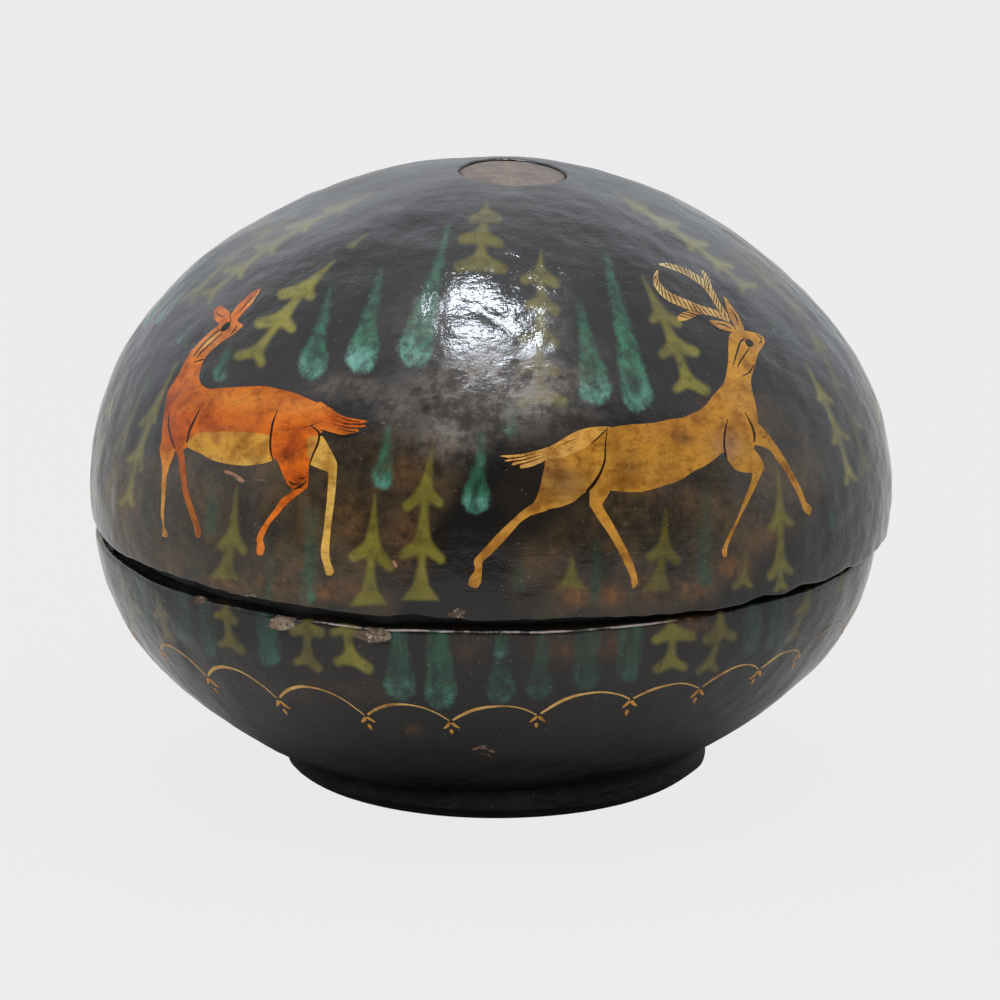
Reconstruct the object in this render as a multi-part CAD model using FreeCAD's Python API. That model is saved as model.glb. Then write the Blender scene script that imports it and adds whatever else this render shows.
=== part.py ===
"""Round painted papier-mache box: a footed bowl and a domed lid that lifts off a locating collar.

Millimetres, +Z up, origin on the floor under the middle of the lid. The decorated front faces -Y.
Each half is a moulded pulp shell with a painted skin outside and a paper lining inside. The halves were
cut apart along one slanting seam, and the lid has warped, so that it gapes at the front left.
"""
import FreeCAD, Part
import math
import os
from FreeCAD import Vector

# Lid: two arcs spun about a leaning axis
lid_radius = 120.0  # at its widest level
widest_above_seam = 17.7  # height of that level over the seam
crown_rise = 95.3  # from the widest level to the crown
shoulder_radius = 72.0  # of the arc that carries the wall into the crown
lid_lean_deg = 2.0  # towards +X, about the middle of the widest level

# Bowl: a flat floor, a flank arc and a bilge arc
lid_overhang = 1.1  # by which the lid's rim stands out over the bowl's
bowl_offset = -1.2  # of the bowl's axis along X
bilge_radius = 61.2
bilge_above_seam = 6.9  # height of the bilge arc's centre over the seam
flank_radius = 144.2
floor_radius = 42.7
floor_height = 3.0  # underside of the bowl above the table

# Seam between the halves
seam_height = 74.0  # on the bowl's axis
seam_tilt_deg = 1.2  # the seam falls towards +X
gape_wide = 3.2  # open seam where the lid has warped upwards
gape_close = 0.3  # open seam opposite, where the lid sits
gape_azimuth_deg = -115.0  # from +X: left of the front

# Walls, from the outside inwards
skin_thickness = 0.8
pulp_thickness = 3.4
lining_thickness = 0.5
glue_line = 0.05

# Locating collar, glued inside the bowl's mouth
collar_inset = 0.45  # of its outer face inside the bowl's mouth
collar_thickness = 2.2
collar_stand = 7.0  # above the seam
collar_depth = 6.0  # below the seam

# Foot ring, glued under the bowl
foot_radius = 64.0
foot_offset = 1.5  # of the ring's axis along X
foot_round = 11.0  # quarter round from the wall to the table
foot_tread = 8.0  # flat width that stands on the table

# Crown disc, let into the top of the lid
disc_radius = 16.0
disc_thickness = 2.3
disc_proud = 0.3  # its face above the crown arc, at the disc's middle
disc_offset_x = 3.3  # from the lid's axis
disc_offset_y = -9.0
disc_clearance = 0.1

overrun = 12.0  # by which blanks pass the cuts that trim them

wall_thickness = skin_thickness + pulp_thickness + lining_thickness + 2 * glue_line
pulp_inset = skin_thickness + glue_line
lining_inset = pulp_inset + pulp_thickness + glue_line
lid_widest_height = seam_height + widest_above_seam
Z_AXIS = Vector(0, 0, 1)
Y_AXIS = Vector(0, 1, 0)


def arc(centre, radius, start, end):
    """Arc in the XZ plane between two angles, in radians from +X."""
    points = []
    for angle in (start, (start + end) / 2, end):
        points.append(centre + Vector(math.cos(angle), 0, math.sin(angle)) * radius)
    return Part.Arc(*points).toShape()


def line(start, end):
    return Part.LineSegment(start, end).toShape()


def first_point(edge):
    return edge.valueAt(edge.FirstParameter)


def last_point(edge):
    return edge.valueAt(edge.LastParameter)


def spin(edges):
    """Closed XZ outline, given edge by edge, turned into a solid about Z."""
    wire = Part.Wire(Part.__sortEdges__(edges))
    return Part.Face(wire).revolve(Vector(), Z_AXIS, 360)


def layer(outline, outer_inset, inner_inset):
    """Solid of revolution between two insets of one outline that runs to or from the axis."""
    outer = outline(outer_inset)
    inner = outline(inner_inset)
    ends = [
        line(first_point(outer[0]), first_point(inner[0])),
        line(last_point(outer[-1]), last_point(inner[-1])),
    ]
    return spin(outer + inner + ends)


def filled(outline, inset):
    """Solid of revolution inside one inset of an outline that starts on the axis."""
    edges = outline(inset)
    top = last_point(edges[-1])
    on_axis = Vector(0, 0, top.z)
    return spin(edges + [line(top, on_axis), line(on_axis, first_point(edges[0]))])


# Outlines
crown_radius = (lid_radius**2 + crown_rise**2 - 2 * shoulder_radius * lid_radius) / (
    2 * (crown_rise - shoulder_radius)
)
crown_centre = Vector(0, 0, lid_widest_height + crown_rise - crown_radius)
shoulder_centre = Vector(lid_radius - shoulder_radius, 0, lid_widest_height)
lid_rim_radius = shoulder_centre.x + math.sqrt(shoulder_radius**2 - widest_above_seam**2)
bowl_rim_radius = lid_rim_radius - lid_overhang
bilge_axis_gap = bowl_rim_radius - math.sqrt(bilge_radius**2 - bilge_above_seam**2)
bilge_centre = Vector(bilge_axis_gap, 0, seam_height + bilge_above_seam)
mouth_radius = bilge_axis_gap + math.sqrt((bilge_radius - wall_thickness) ** 2 - bilge_above_seam**2)


def flank_centre():
    """Centre of the arc through the floor's edge that is tangent inside to the bilge arc."""
    floor_edge = Vector(floor_radius, 0, floor_height)
    span = bilge_centre - floor_edge
    reach = flank_radius - bilge_radius
    along = (flank_radius**2 - reach**2 + span.Length**2) / (2 * span.Length)
    across = math.sqrt(flank_radius**2 - along**2)
    towards = span / span.Length
    return floor_edge + towards * along + Vector(-towards.z, 0, towards.x) * across


def lid_outline(inset):
    """From below the seam up the wall, over the shoulder and to the crown on the axis."""
    bottom = seam_height - overrun
    shoulder = shoulder_radius - inset
    low = -math.asin((lid_widest_height - bottom) / shoulder)
    turn = math.atan2(shoulder_centre.z - crown_centre.z, shoulder_centre.x)
    return [
        arc(shoulder_centre, shoulder, low, turn),
        arc(crown_centre, crown_radius - inset, turn, math.pi / 2),
    ]


def bowl_outline(inset):
    """From the floor on the axis out to the flank, and up the bilge past the seam."""
    centre = flank_centre()
    flank = flank_radius - inset
    bilge = bilge_radius - inset
    level = floor_height + inset
    start = -math.acos(math.sqrt(flank**2 - (centre.z - level) ** 2) / flank)
    turn = math.atan2(bilge_centre.z - centre.z, bilge_centre.x - centre.x)
    high = math.asin((seam_height + overrun - bilge_centre.z) / bilge)
    flank_arc = arc(centre, flank, start, turn)
    on_axis = Vector(0, 0, level)
    return [
        line(on_axis, first_point(flank_arc)),
        flank_arc,
        arc(bilge_centre, bilge, turn, high),
    ]


def half_space(below):
    """Block with one face on the level seam, reaching down from it or up from it."""
    width = 2 * (lid_radius + overrun)
    height = lid_widest_height + crown_rise + overrun
    corner = Vector(-width / 2, -width / 2, seam_height - (height if below else 0))
    return Part.makeBox(width, width, height, corner)


def tilt_to_seam(shape):
    shape.rotate(Vector(0, 0, seam_height), Y_AXIS, seam_tilt_deg)
    return shape


def above_bowl():
    return tilt_to_seam(half_space(below=False))


def below_lid():
    """Everything under the lid's warped rim."""
    block = half_space(below=True)
    azimuth = math.radians(gape_azimuth_deg)
    hinge = Vector(math.sin(azimuth), -math.cos(azimuth), 0)
    warp = math.atan2((gape_wide - gape_close) / 2, lid_radius)
    block.rotate(Vector(0, 0, seam_height), hinge, math.degrees(warp))
    block.translate(Z_AXIS * (gape_wide + gape_close) / 2)
    return tilt_to_seam(block)


# Pieces
def lean(shape):
    shape.rotate(Vector(0, 0, lid_widest_height), Y_AXIS, lid_lean_deg)
    return shape


def disc_blank(radius, bottom, top):
    """Cylinder square to the crown at the disc's place, between two heights over the crown arc."""
    rise = math.sqrt(crown_radius**2 - disc_offset_x**2 - disc_offset_y**2)
    normal = Vector(disc_offset_x, disc_offset_y, rise) / crown_radius
    foot = crown_centre + normal * (crown_radius + bottom)
    return lean(Part.makeCylinder(radius, top - bottom, foot, normal))


def disc_seat():
    """Recess that takes the crown disc, open at the top."""
    bottom = disc_proud - disc_thickness - glue_line
    return disc_blank(disc_radius + disc_clearance, bottom, overrun)


def crown_disc():
    return disc_blank(disc_radius, disc_proud - disc_thickness, disc_proud)


def lid_layer(outer_inset, inner_inset):
    return lean(layer(lid_outline, outer_inset, inner_inset)).cut(below_lid())


def lid_skin():
    return lid_layer(0, skin_thickness).cut(disc_seat())


def lid_shell():
    return lid_layer(pulp_inset, pulp_inset + pulp_thickness).cut(disc_seat())


def lid_lining():
    return lid_layer(lining_inset, wall_thickness)


def on_bowl_axis(shape):
    shape.translate(Vector(bowl_offset, 0, 0))
    return shape


def bowl_layer(outer_inset, inner_inset):
    return on_bowl_axis(layer(bowl_outline, outer_inset, inner_inset)).cut(above_bowl())


def base_skin():
    return bowl_layer(0, skin_thickness)


def base_shell():
    return bowl_layer(pulp_inset, pulp_inset + pulp_thickness)


def base_lining():
    return bowl_layer(lining_inset, wall_thickness)


def locating_collar():
    """Upright ring that follows the bowl's inside below the seam."""
    bottom = Vector(0, 0, seam_height - collar_depth)
    height = collar_depth + collar_stand
    radius = mouth_radius - collar_inset
    ring = Part.makeCylinder(radius, height, bottom)
    ring = ring.cut(Part.makeCylinder(radius - collar_thickness, height, bottom))
    inside = filled(bowl_outline, wall_thickness + glue_line)
    return on_bowl_axis(tilt_to_seam(ring).common(inside))


def foot_ring():
    """Quarter-round ring whose top is shaped to the underside of the bowl."""
    tread_outer = foot_radius - foot_round
    tread_inner = tread_outer - foot_tread
    round_centre = Vector(tread_outer, 0, foot_round)
    round_edge = arc(round_centre, foot_round, -math.pi / 2, 0)
    corners = [
        last_point(round_edge),
        Vector(foot_radius, 0, seam_height),
        Vector(tread_inner, 0, seam_height),
        Vector(tread_inner, 0, 0),
        first_point(round_edge),
    ]
    edges = [line(a, b) for a, b in zip(corners, corners[1:])]
    ring = spin([round_edge] + edges)
    ring.translate(Vector(foot_offset, 0, 0))
    return ring.cut(on_bowl_axis(filled(bowl_outline, -glue_line)))


def main():
    os.makedirs("parts", exist_ok=True)
    makers = (
        lid_skin,
        lid_shell,
        lid_lining,
        crown_disc,
        base_skin,
        base_shell,
        base_lining,
        locating_collar,
        foot_ring,
    )
    for maker in makers:
        shape = maker()
        if shape.ShapeType == "Compound" and len(shape.Solids) == 1:
            shape = shape.Solids[0]
        shape.exportStep(f"parts/{maker.__name__}.step")
        box = shape.BoundBox
        print(
            f"{maker.__name__}: solids {len(shape.Solids)}, valid {shape.isValid()}, "
            f"volume {shape.Volume:.0f} mm3, "
            f"x {box.XMin:.2f}..{box.XMax:.2f}, y {box.YMin:.2f}..{box.YMax:.2f}, "
            f"z {box.ZMin:.2f}..{box.ZMax:.2f}"
        )


main()
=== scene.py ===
"""Looks of the round painted papier-mache box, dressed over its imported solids.

Lengths are millimetres until a mesh is made, which is in metres in the solids' own frame: +Z up, the painted
front to -Y. The painting is laid out in pixels of the 1000 x 1000 photograph, x to the right and y down, and
is carried from there along the camera's rays onto the box.
"""
import math

import bpy
import numpy as np
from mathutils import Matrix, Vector
from mathutils.geometry import delaunay_2d_cdt


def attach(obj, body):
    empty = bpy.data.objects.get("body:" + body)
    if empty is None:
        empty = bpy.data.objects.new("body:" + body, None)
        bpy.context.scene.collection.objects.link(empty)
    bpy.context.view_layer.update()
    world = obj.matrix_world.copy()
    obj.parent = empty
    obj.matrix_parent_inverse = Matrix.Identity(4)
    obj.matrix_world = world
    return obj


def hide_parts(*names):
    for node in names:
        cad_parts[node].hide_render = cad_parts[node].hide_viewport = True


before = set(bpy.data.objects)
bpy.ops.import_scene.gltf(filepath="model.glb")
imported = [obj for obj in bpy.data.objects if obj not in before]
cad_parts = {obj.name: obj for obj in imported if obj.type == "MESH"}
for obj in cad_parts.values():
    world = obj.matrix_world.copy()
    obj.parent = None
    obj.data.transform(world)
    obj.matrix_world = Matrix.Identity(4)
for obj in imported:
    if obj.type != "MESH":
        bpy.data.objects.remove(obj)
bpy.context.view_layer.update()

MM = 0.001

# Camera of the photograph
image_width = 1000
camera_elevation = math.radians(13)
camera_distance = 1500.0
camera_lens = 180.0
camera_sensor = 36.0
camera_aim = np.array([2.85, 0.0, 84.3])
focal_pixels = image_width * camera_lens / camera_sensor
towards_camera = np.array([0.0, -math.cos(camera_elevation), math.sin(camera_elevation)])
camera_right = np.array([1.0, 0.0, 0.0])
camera_up = np.array([0.0, math.sin(camera_elevation), math.cos(camera_elevation)])
camera_place = camera_aim + camera_distance * towards_camera
# Steps of a ray towards the box
ray_head_start = 200.0
ray_steps = 90
ray_stride_share = 0.95

# Sizes of the box
lid_radius = 120.0
crown_rise = 95.3
shoulder_radius = 72.0
lid_overhang = 1.6
bilge_radius = 61.2
bilge_above_seam = 3.4
flank_radius = 144.2
floor_radius = 42.7
floor_height = 3.0
seam_height = 77.5
seam_fall_right = math.tan(math.radians(0.3))
seam_fall_front = math.tan(math.radians(1.9))
gape_middle = 2.15
gape_swing = 1.75
gape_slope = gape_swing / lid_radius
gape_azimuth = math.radians(-140.0)
widest_height = 91.7
lid_lean = math.radians(2.0)
bowl_offset = -1.2
skin_thickness = 0.8
pulp_inset = 0.85
lining_inset = 4.3
glue_line = 0.05
wall_thickness = 4.8
disc_radius = 16.0
disc_clearance = 0.1
disc_thickness = 2.3
disc_proud = 0.1
disc_sunk = 0.75
disc_seat_depth = 2.06
disc_offset = np.array([3.3, -9.0])
foot_radius = 63.2
foot_offset = 1.7
foot_tread_radius = 47.2
foot_tread = 8.0
foot_round = 24.0
# Flare and drop of the rows where the foot meets the bowl
foot_fillet = ((0.9, -0.15), (0.45, 0.35), (0.15, 1.1), (0.0, 2.2))

# Rims
rim_radius = 117.0
seam_radius = 118.0
rim_flat = 2.6
lip_rise = 0.35
lip_clearance = 0.02
layer_set_back = 0.45
lid_edge_round = 0.55
bowl_edge_round = 1.3
lid_run_range = (120.0, 230.0)
bowl_run_range = (66.0, 140.0)

# Hand-made unevenness: wave length and height of the wall, and wave length and share of the worn rims
relief_waves = [(90.0, 0.16), (42.0, 0.14), (20.0, 0.14), (9.0, 0.062), (5.0, 0.024)]
wear_waves = [(34.0, 1.0), (11.0, 0.7), (5.0, 0.6)]
calm_near_seam = 3.0
calm_far_from_seam = 22.0
rim_relief = 0.3

# Meshes
sharp_angle = math.radians(40)
front_crowding = 0.33
foot_crowding = 0.3
lid_columns = 590
lid_rows = 146
lid_inner_rows = 15
bowl_columns = 540
bowl_rows = 84
bowl_inner_rows = 14
layer_columns = 200
lid_layer_rows = 44
bowl_layer_rows = 30
disc_columns = 160
foot_columns = 400

# Painting: pixels beyond which a mark has no effect, and millimetres to a pixel on the box
far_away = 40.0
pixel_mm = 0.3
# How far in pixels the creases between a tree's lobes and at its bells are filled
lobe_crease = 3.0
bell_crease = 2.0
# Shares of a tree's unit: where its lobes or its bell fork off, the bell's knee and flare, and the next unit
lobe_fork_share = 0.74
bell_fork_share = 0.35
bell_knee_share = 0.55
bell_flare_share = 2.1
next_unit_share = 0.2
# A drop's shares of length and the swell of its width there
drop_length_shares = np.array([0.0, 0.3, 0.6, 0.85, 1.0])
drop_swell_shares = np.array([0.0, 0.2, 0.48, 0.88, 1.0])
# Steps in pixels along outlines and brush lines and across fills, and the clear margin of a fill
outline_step = 2.6
stroke_step = 3.0
fill_step = 4.0
fill_margin = 1.8
band_step = 4.8
# Depth of a coat's underside in the wall, and how far the sides reach, as the sine of the azimuth
paint_sunk = 0.12
side_reach = 0.45
# Lift of each layer of paint over the wall, back to front
far_lift = 0.025
body_lift = 0.034
trim_lift = 0.043
near_lift = 0.05
line_lift = 0.065
eye_lift = 0.075
festoon_lift = 0.04
petal_lift = 0.05
# Relief of the varnish, in metres
varnish_relief = 0.000075
lining_relief = 0.00012
# Heights on the crown, in metres, between which dust has settled
dusty_from = 0.168
dusty_to = 0.184


def smooth(low, high, value):
    """0 below low, 1 above high, and an easy curve between."""
    share = np.clip((np.asarray(value, float) - low) / (high - low), 0.0, 1.0)
    return share * share * (3.0 - 2.0 * share)


def waves(points, length, seed, count=22):
    """Even, repeatable unevenness of about unit height with that wave length."""
    chance = np.random.RandomState(seed)
    heading = chance.normal(size=(count, 3))
    heading /= np.linalg.norm(heading, axis=1)[:, None]
    pitch = 2 * math.pi / (length * chance.uniform(0.75, 1.35, count))
    phase = chance.uniform(0, 2 * math.pi, count)
    total = np.zeros(len(points))
    for k in range(count):
        total += np.sin(points @ (heading[k] * pitch[k]) + phase[k])
    return total * math.sqrt(2.0 / count) * 0.7


def project(points):
    """Photograph pixels of points."""
    offset = points - camera_place
    depth = -(offset @ towards_camera)
    across = offset @ camera_right / depth
    upward = offset @ camera_up / depth
    half = image_width / 2
    return np.stack([half + focal_pixels * across, half - focal_pixels * upward], axis=-1)


class Wall:
    """Outside of one half: two tangent arcs turned about its axis. A place on it is a run along the outline
    from the pole or floor, and an azimuth."""

    def __init__(self, near_centre, near_radius, far_centre, far_radius, upward, start, lean, shift):
        self.near_centre = near_centre
        self.near_radius = near_radius
        self.far_centre = far_centre
        self.far_radius = far_radius
        self.upward = upward
        self.start = start
        self.lean = lean
        self.shift = shift
        span_r = far_centre[0] - near_centre[0]
        span_z = (far_centre[1] - near_centre[1]) * upward
        self.turn = math.atan2(span_r, span_z)
        self.turn_run = (self.turn - start) * near_radius

    def outline(self, run):
        """Radius, height and outward normal at each run. Runs below 0 are the flat floor."""
        near_angle = self.start + run / self.near_radius
        far_angle = self.turn + (run - self.turn_run) / self.far_radius
        near = run < self.turn_run
        angle = np.where(near, near_angle, far_angle)
        size = np.where(near, self.near_radius, self.far_radius)
        middle_r = np.where(near, self.near_centre[0], self.far_centre[0])
        middle_z = np.where(near, self.near_centre[1], self.far_centre[1])
        radius = middle_r + size * np.sin(angle)
        height = middle_z + self.upward * size * np.cos(angle)
        normal_r = np.sin(angle)
        normal_z = self.upward * np.cos(angle)
        if self.start > 0:
            flat = run < 0
            edge_r = self.near_centre[0] + self.near_radius * math.sin(self.start)
            edge_z = self.near_centre[1] + self.upward * self.near_radius * math.cos(self.start)
            radius = np.where(flat, edge_r + run, radius)
            height = np.where(flat, edge_z, height)
            normal_r = np.where(flat, 0.0, normal_r)
            normal_z = np.where(flat, self.upward, normal_z)
        return radius, height, normal_r, normal_z

    def tilt(self, vectors):
        turned = np.array(vectors, float)
        turned[..., 0] = vectors[..., 0] * math.cos(self.lean) + vectors[..., 2] * math.sin(self.lean)
        turned[..., 2] = vectors[..., 2] * math.cos(self.lean) - vectors[..., 0] * math.sin(self.lean)
        return turned

    def place(self, run, azimuth):
        """Nominal points and outward normals."""
        radius, height, normal_r, normal_z = self.outline(np.asarray(run, float))
        cosine, sine = np.cos(azimuth), np.sin(azimuth)
        points = np.stack([radius * cosine, radius * sine, height - widest_height], axis=-1)
        normals = np.stack([normal_r * cosine, normal_r * sine, normal_z + 0 * cosine], axis=-1)
        points = self.tilt(points) + np.array([self.shift, 0.0, widest_height])
        return points, self.tilt(normals)

    def upright(self, points):
        """Radius, height and azimuth of points about the half's own axis."""
        local = points - np.array([self.shift, 0.0, widest_height])
        x = local[..., 0] * math.cos(self.lean) - local[..., 2] * math.sin(self.lean)
        z = local[..., 2] * math.cos(self.lean) + local[..., 0] * math.sin(self.lean)
        return np.hypot(x, local[..., 1]), z + widest_height, np.arctan2(local[..., 1], x)

    def measure(self, points):
        """Distance outside the wall, and the run and azimuth of the nearest place on it."""
        radius, height, azimuth = self.upright(points)
        near_r = radius - self.near_centre[0]
        near_z = (height - self.near_centre[1]) * self.upward
        far_r = radius - self.far_centre[0]
        far_z = (height - self.far_centre[1]) * self.upward
        near_angle = np.arctan2(near_r, near_z)
        far_angle = np.arctan2(far_r, far_z)
        near = near_angle < self.turn
        distance = np.where(near, np.hypot(near_r, near_z) - self.near_radius,
                            np.hypot(far_r, far_z) - self.far_radius)
        run = np.where(near, (near_angle - self.start) * self.near_radius,
                       self.turn_run + (far_angle - self.turn) * self.far_radius)
        return distance, run, azimuth

    def seen(self, pixels):
        """Run and azimuth of the places seen at photograph pixels."""
        pixels = np.asarray(pixels, float).reshape(-1, 2)
        half = image_width / 2
        across = (pixels[:, :1] - half) / focal_pixels * camera_right
        upward = (half - pixels[:, 1:]) / focal_pixels * camera_up
        ray = across + upward - towards_camera
        ray /= np.linalg.norm(ray, axis=1)[:, None]
        travel = np.full(len(ray), camera_distance - ray_head_start)
        for step in range(ray_steps):
            distance, run, azimuth = self.measure(camera_place + ray * travel[:, None])
            travel += ray_stride_share * distance
        return run, azimuth


def lid_wall():
    """Crown arc that runs smoothly into the shoulder arc."""
    shoulder_in = lid_radius - shoulder_radius
    crown_top = widest_height + crown_rise
    reach = crown_top - shoulder_radius
    crown_height = (reach**2 - shoulder_in**2 - widest_height**2) / (2 * (reach - widest_height))
    return Wall((0.0, crown_height), crown_top - crown_height, (shoulder_in, widest_height), shoulder_radius,
                1.0, 0.0, lid_lean, 0.0)


def bowl_wall():
    """Flank arc from the floor's edge that runs smoothly into the bilge arc under the lid."""
    lid_drop = widest_height - seam_height
    lid_at_seam = lid_radius - shoulder_radius + math.sqrt(shoulder_radius**2 - lid_drop**2)
    bilge_in = lid_at_seam - lid_overhang - math.sqrt(bilge_radius**2 - bilge_above_seam**2)
    bilge_height = seam_height + bilge_above_seam
    span_r = floor_radius - bilge_in
    span_z = floor_height - bilge_height
    span = math.hypot(span_r, span_z)
    inner_reach = flank_radius - bilge_radius
    along = (inner_reach**2 - flank_radius**2 + span**2) / (2 * span)
    aside = math.sqrt(inner_reach**2 - along**2)
    flank_r = bilge_in + (along * span_r + aside * span_z) / span
    flank_z = bilge_height + (along * span_z - aside * span_r) / span
    start = math.asin((floor_radius - flank_r) / flank_radius)
    return Wall((flank_r, flank_z), flank_radius, (bilge_in, bilge_height), bilge_radius,
                -1.0, start, 0.0, bowl_offset)


lid = lid_wall()
bowl = bowl_wall()

# Dents and swellings of the pulp: pixel, spread and depth in millimetres, outwards positive
lid_dents = [
    ((114, 385), 21.0, -1.5),
    ((312, 203), 20.0, -2.6),
    ((400, 168), 14.0, -0.5),
    ((196, 270), 14.0, 0.6),
    ((748, 256), 20.0, -1.1),
    ((424, 228), 5.0, -0.55),
    ((470, 252), 9.0, 0.35),
    ((495, 415), 5.0, -0.5),
    ((440, 400), 5.0, -0.35),
    ((545, 408), 6.0, -0.35),
    ((487, 380), 11.0, 0.3),
    ((575, 245), 11.0, -0.4),
    ((360, 250), 9.0, -0.45),
    ((860, 470), 12.0, -0.4),
    ((468, 304), 1.7, -0.3),
    ((479, 309), 1.7, -0.42),
    ((490, 315), 1.7, -0.46),
    ((501, 322), 1.7, -0.38),
    ((510, 330), 1.7, -0.22),
    ((455, 345), 4.0, 0.22),
    ((525, 345), 4.0, -0.25),
]
bowl_dents = [
    ((150, 640), 14.0, -0.5),
    ((330, 700), 16.0, 0.4),
    ((600, 720), 15.0, -0.4),
    ((800, 620), 14.0, 0.5),
    ((480, 690), 12.0, -0.3),
]
# Places where the lacquer and some of the pulp broke away
bowl_breaks = [
    ((277, 622), 2.0, -0.7),
    ((288, 624), 2.2, -0.8),
    ((362, 632), 2.0, -0.7),
    ((374, 635), 2.3, -0.9),
    ((386, 634), 2.0, -0.8),
    ((199, 599), 1.2, -0.4),
]
lid_breaks = [
    ((457, 616), 1.5, -0.6),
    ((249, 597), 1.3, -0.4),
]


def dent_places(wall, dents):
    """Middle, spread and depth of dents, on the nominal wall."""
    run, azimuth = wall.seen([pixel for pixel, spread, depth in dents])
    centres = wall.place(run, azimuth)[0]
    return [(centre, spread, depth) for centre, (pixel, spread, depth) in zip(centres, dents)]


lid_dent_places = dent_places(lid, lid_dents)
bowl_dent_places = dent_places(bowl, bowl_dents)
lid_break_places = dent_places(lid, lid_breaks)
bowl_break_places = dent_places(bowl, bowl_breaks)


def dent_level(points, places):
    level = np.zeros(len(points))
    for centre, spread, depth in places:
        reach = ((points - centre) ** 2).sum(axis=-1) / (2 * spread * spread)
        level += depth * np.exp(-reach)
    return level


def bowl_rim_height(x, y):
    return seam_height - seam_fall_right * x + seam_fall_front * y


def lid_rim_height(x, y):
    warp = gape_slope * (x * math.cos(gape_azimuth) + y * math.sin(gape_azimuth))
    return bowl_rim_height(x, y) + gape_middle + warp


def relief(wall, points):
    """Height of the hand-made unevenness over nominal points."""
    seed = 11 if wall is lid else 71
    level = dent_level(points, lid_dent_places if wall is lid else bowl_dent_places)
    for k, (length, height) in enumerate(relief_waves):
        level += height * waves(points, length, seed + k)
    off_seam = np.abs(points[:, 2] - bowl_rim_height(points[:, 0], points[:, 1]))
    calm = smooth(calm_near_seam, calm_far_from_seam, off_seam)
    level = level * calm + np.clip(level, -rim_relief, rim_relief) * (1 - calm)
    return level + dent_level(points, lid_break_places if wall is lid else bowl_break_places)


def seam_shift(wall, run, azimuth):
    """How far the back's painting moves along the wall with the slanting seam."""
    rise = 2 * seam_fall_front * seam_radius * np.maximum(np.sin(azimuth), 0.0)
    start, end = (40.0, 165.0) if wall is lid else (0.0, 100.0)
    return wall.upward * rise * smooth(start, end, run)


def on_wall(wall, run, azimuth, lift=0.0):
    """Points on the uneven wall, raised by lift."""
    points, normals = wall.place(run, azimuth)
    level = relief(wall, points)
    return points + normals * (level + lift)[:, None]


# Meshes
def faces_outwards(faces, points):
    """Whether the corners of a closed mesh's faces go round as seen from outside."""
    corners = points[faces[:, :3]]
    return np.einsum("ij,ij->i", corners[:, 0], np.cross(corners[:, 1], corners[:, 2])).sum() > 0


def outward(faces, points):
    """The same faces, turned so that the closed mesh faces outwards."""
    return faces if faces_outwards(faces, points) else faces[:, ::-1]


def build_mesh(name, points, faces, values=(), colours=None):
    """Smooth-shaded mesh object in metres with point attributes."""
    mesh = bpy.data.meshes.new(name)
    mesh.from_pydata((np.asarray(points) * MM).tolist(), [], [list(face) for face in faces])
    mesh.update()
    mesh.shade_smooth()
    mesh.set_sharp_from_angle(angle=sharp_angle)
    for key, value in dict(values).items():
        attribute = mesh.attributes.new(key, "FLOAT", "POINT")
        attribute.data.foreach_set("value", np.asarray(value, np.float32))
    if colours is not None:
        attribute = mesh.attributes.new("paint", "FLOAT_COLOR", "POINT")
        flat = np.ones((len(colours), 4), np.float32)
        flat[:, :3] = colours
        attribute.data.foreach_set("color", flat.ravel())
    piece = bpy.data.objects.new(name, mesh)
    bpy.context.scene.collection.objects.link(piece)
    return piece


def ring_faces(columns, rows):
    """Quads of a ring: rows go round a closed section, columns round the axis."""
    column, row = np.meshgrid(np.arange(columns), np.arange(rows), indexing="ij")
    next_column = (column + 1) % columns
    next_row = (row + 1) % rows
    return np.stack([
        column * rows + row,
        next_column * rows + row,
        next_column * rows + next_row,
        column * rows + next_row,
    ], axis=-1).reshape(-1, 4)


def dome_faces(columns, rows):
    """Quads and end fans of a closed form whose first and last rows are single points.
    Points are listed column by column without those rows, then the two end points."""
    column, row = np.meshgrid(np.arange(columns), np.arange(rows - 1), indexing="ij")
    next_column = (column + 1) % columns
    quads = np.stack([
        column * rows + row,
        next_column * rows + row,
        next_column * rows + row + 1,
        column * rows + row + 1,
    ], axis=-1).reshape(-1, 4)
    first, last = columns * rows, columns * rows + 1
    fans = [(first, ((k + 1) % columns) * rows, k * rows) for k in range(columns)]
    fans += [(last, k * rows + rows - 1, ((k + 1) % columns) * rows + rows - 1) for k in range(columns)]
    return quads, fans


def ring_piece(name, loops, values=()):
    """Ring-shaped piece from sections, one per column."""
    columns, rows = loops.shape[:2]
    points = loops.reshape(-1, 3)
    return build_mesh(name, points, outward(ring_faces(columns, rows), points), values)


def dome_piece(name, loops, first_point, last_point, values=()):
    """Closed piece from sections that start and end at the two given points."""
    columns, rows = loops.shape[:2]
    points = np.concatenate([loops.reshape(-1, 3), [first_point], [last_point]])
    quads, fans = dome_faces(columns, rows)
    faces = [tuple(face) for face in quads.tolist()] + fans
    if not faces_outwards(quads, points):
        faces = [face[::-1] for face in faces]
    return build_mesh(name, points, faces, values)


# Rims
def rim_wear(azimuth, seed, height):
    """How far the ragged rim falls short of the cut, never below 0."""
    circle = np.stack([np.cos(azimuth), np.sin(azimuth), 0 * azimuth], axis=-1) * rim_radius
    rough = np.zeros(len(azimuth))
    for k, (length, share) in enumerate(wear_waves):
        rough += share * waves(circle, length, seed + k)
    return height * np.clip(0.9 + 0.75 * rough, 0.0, 2.6)


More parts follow.
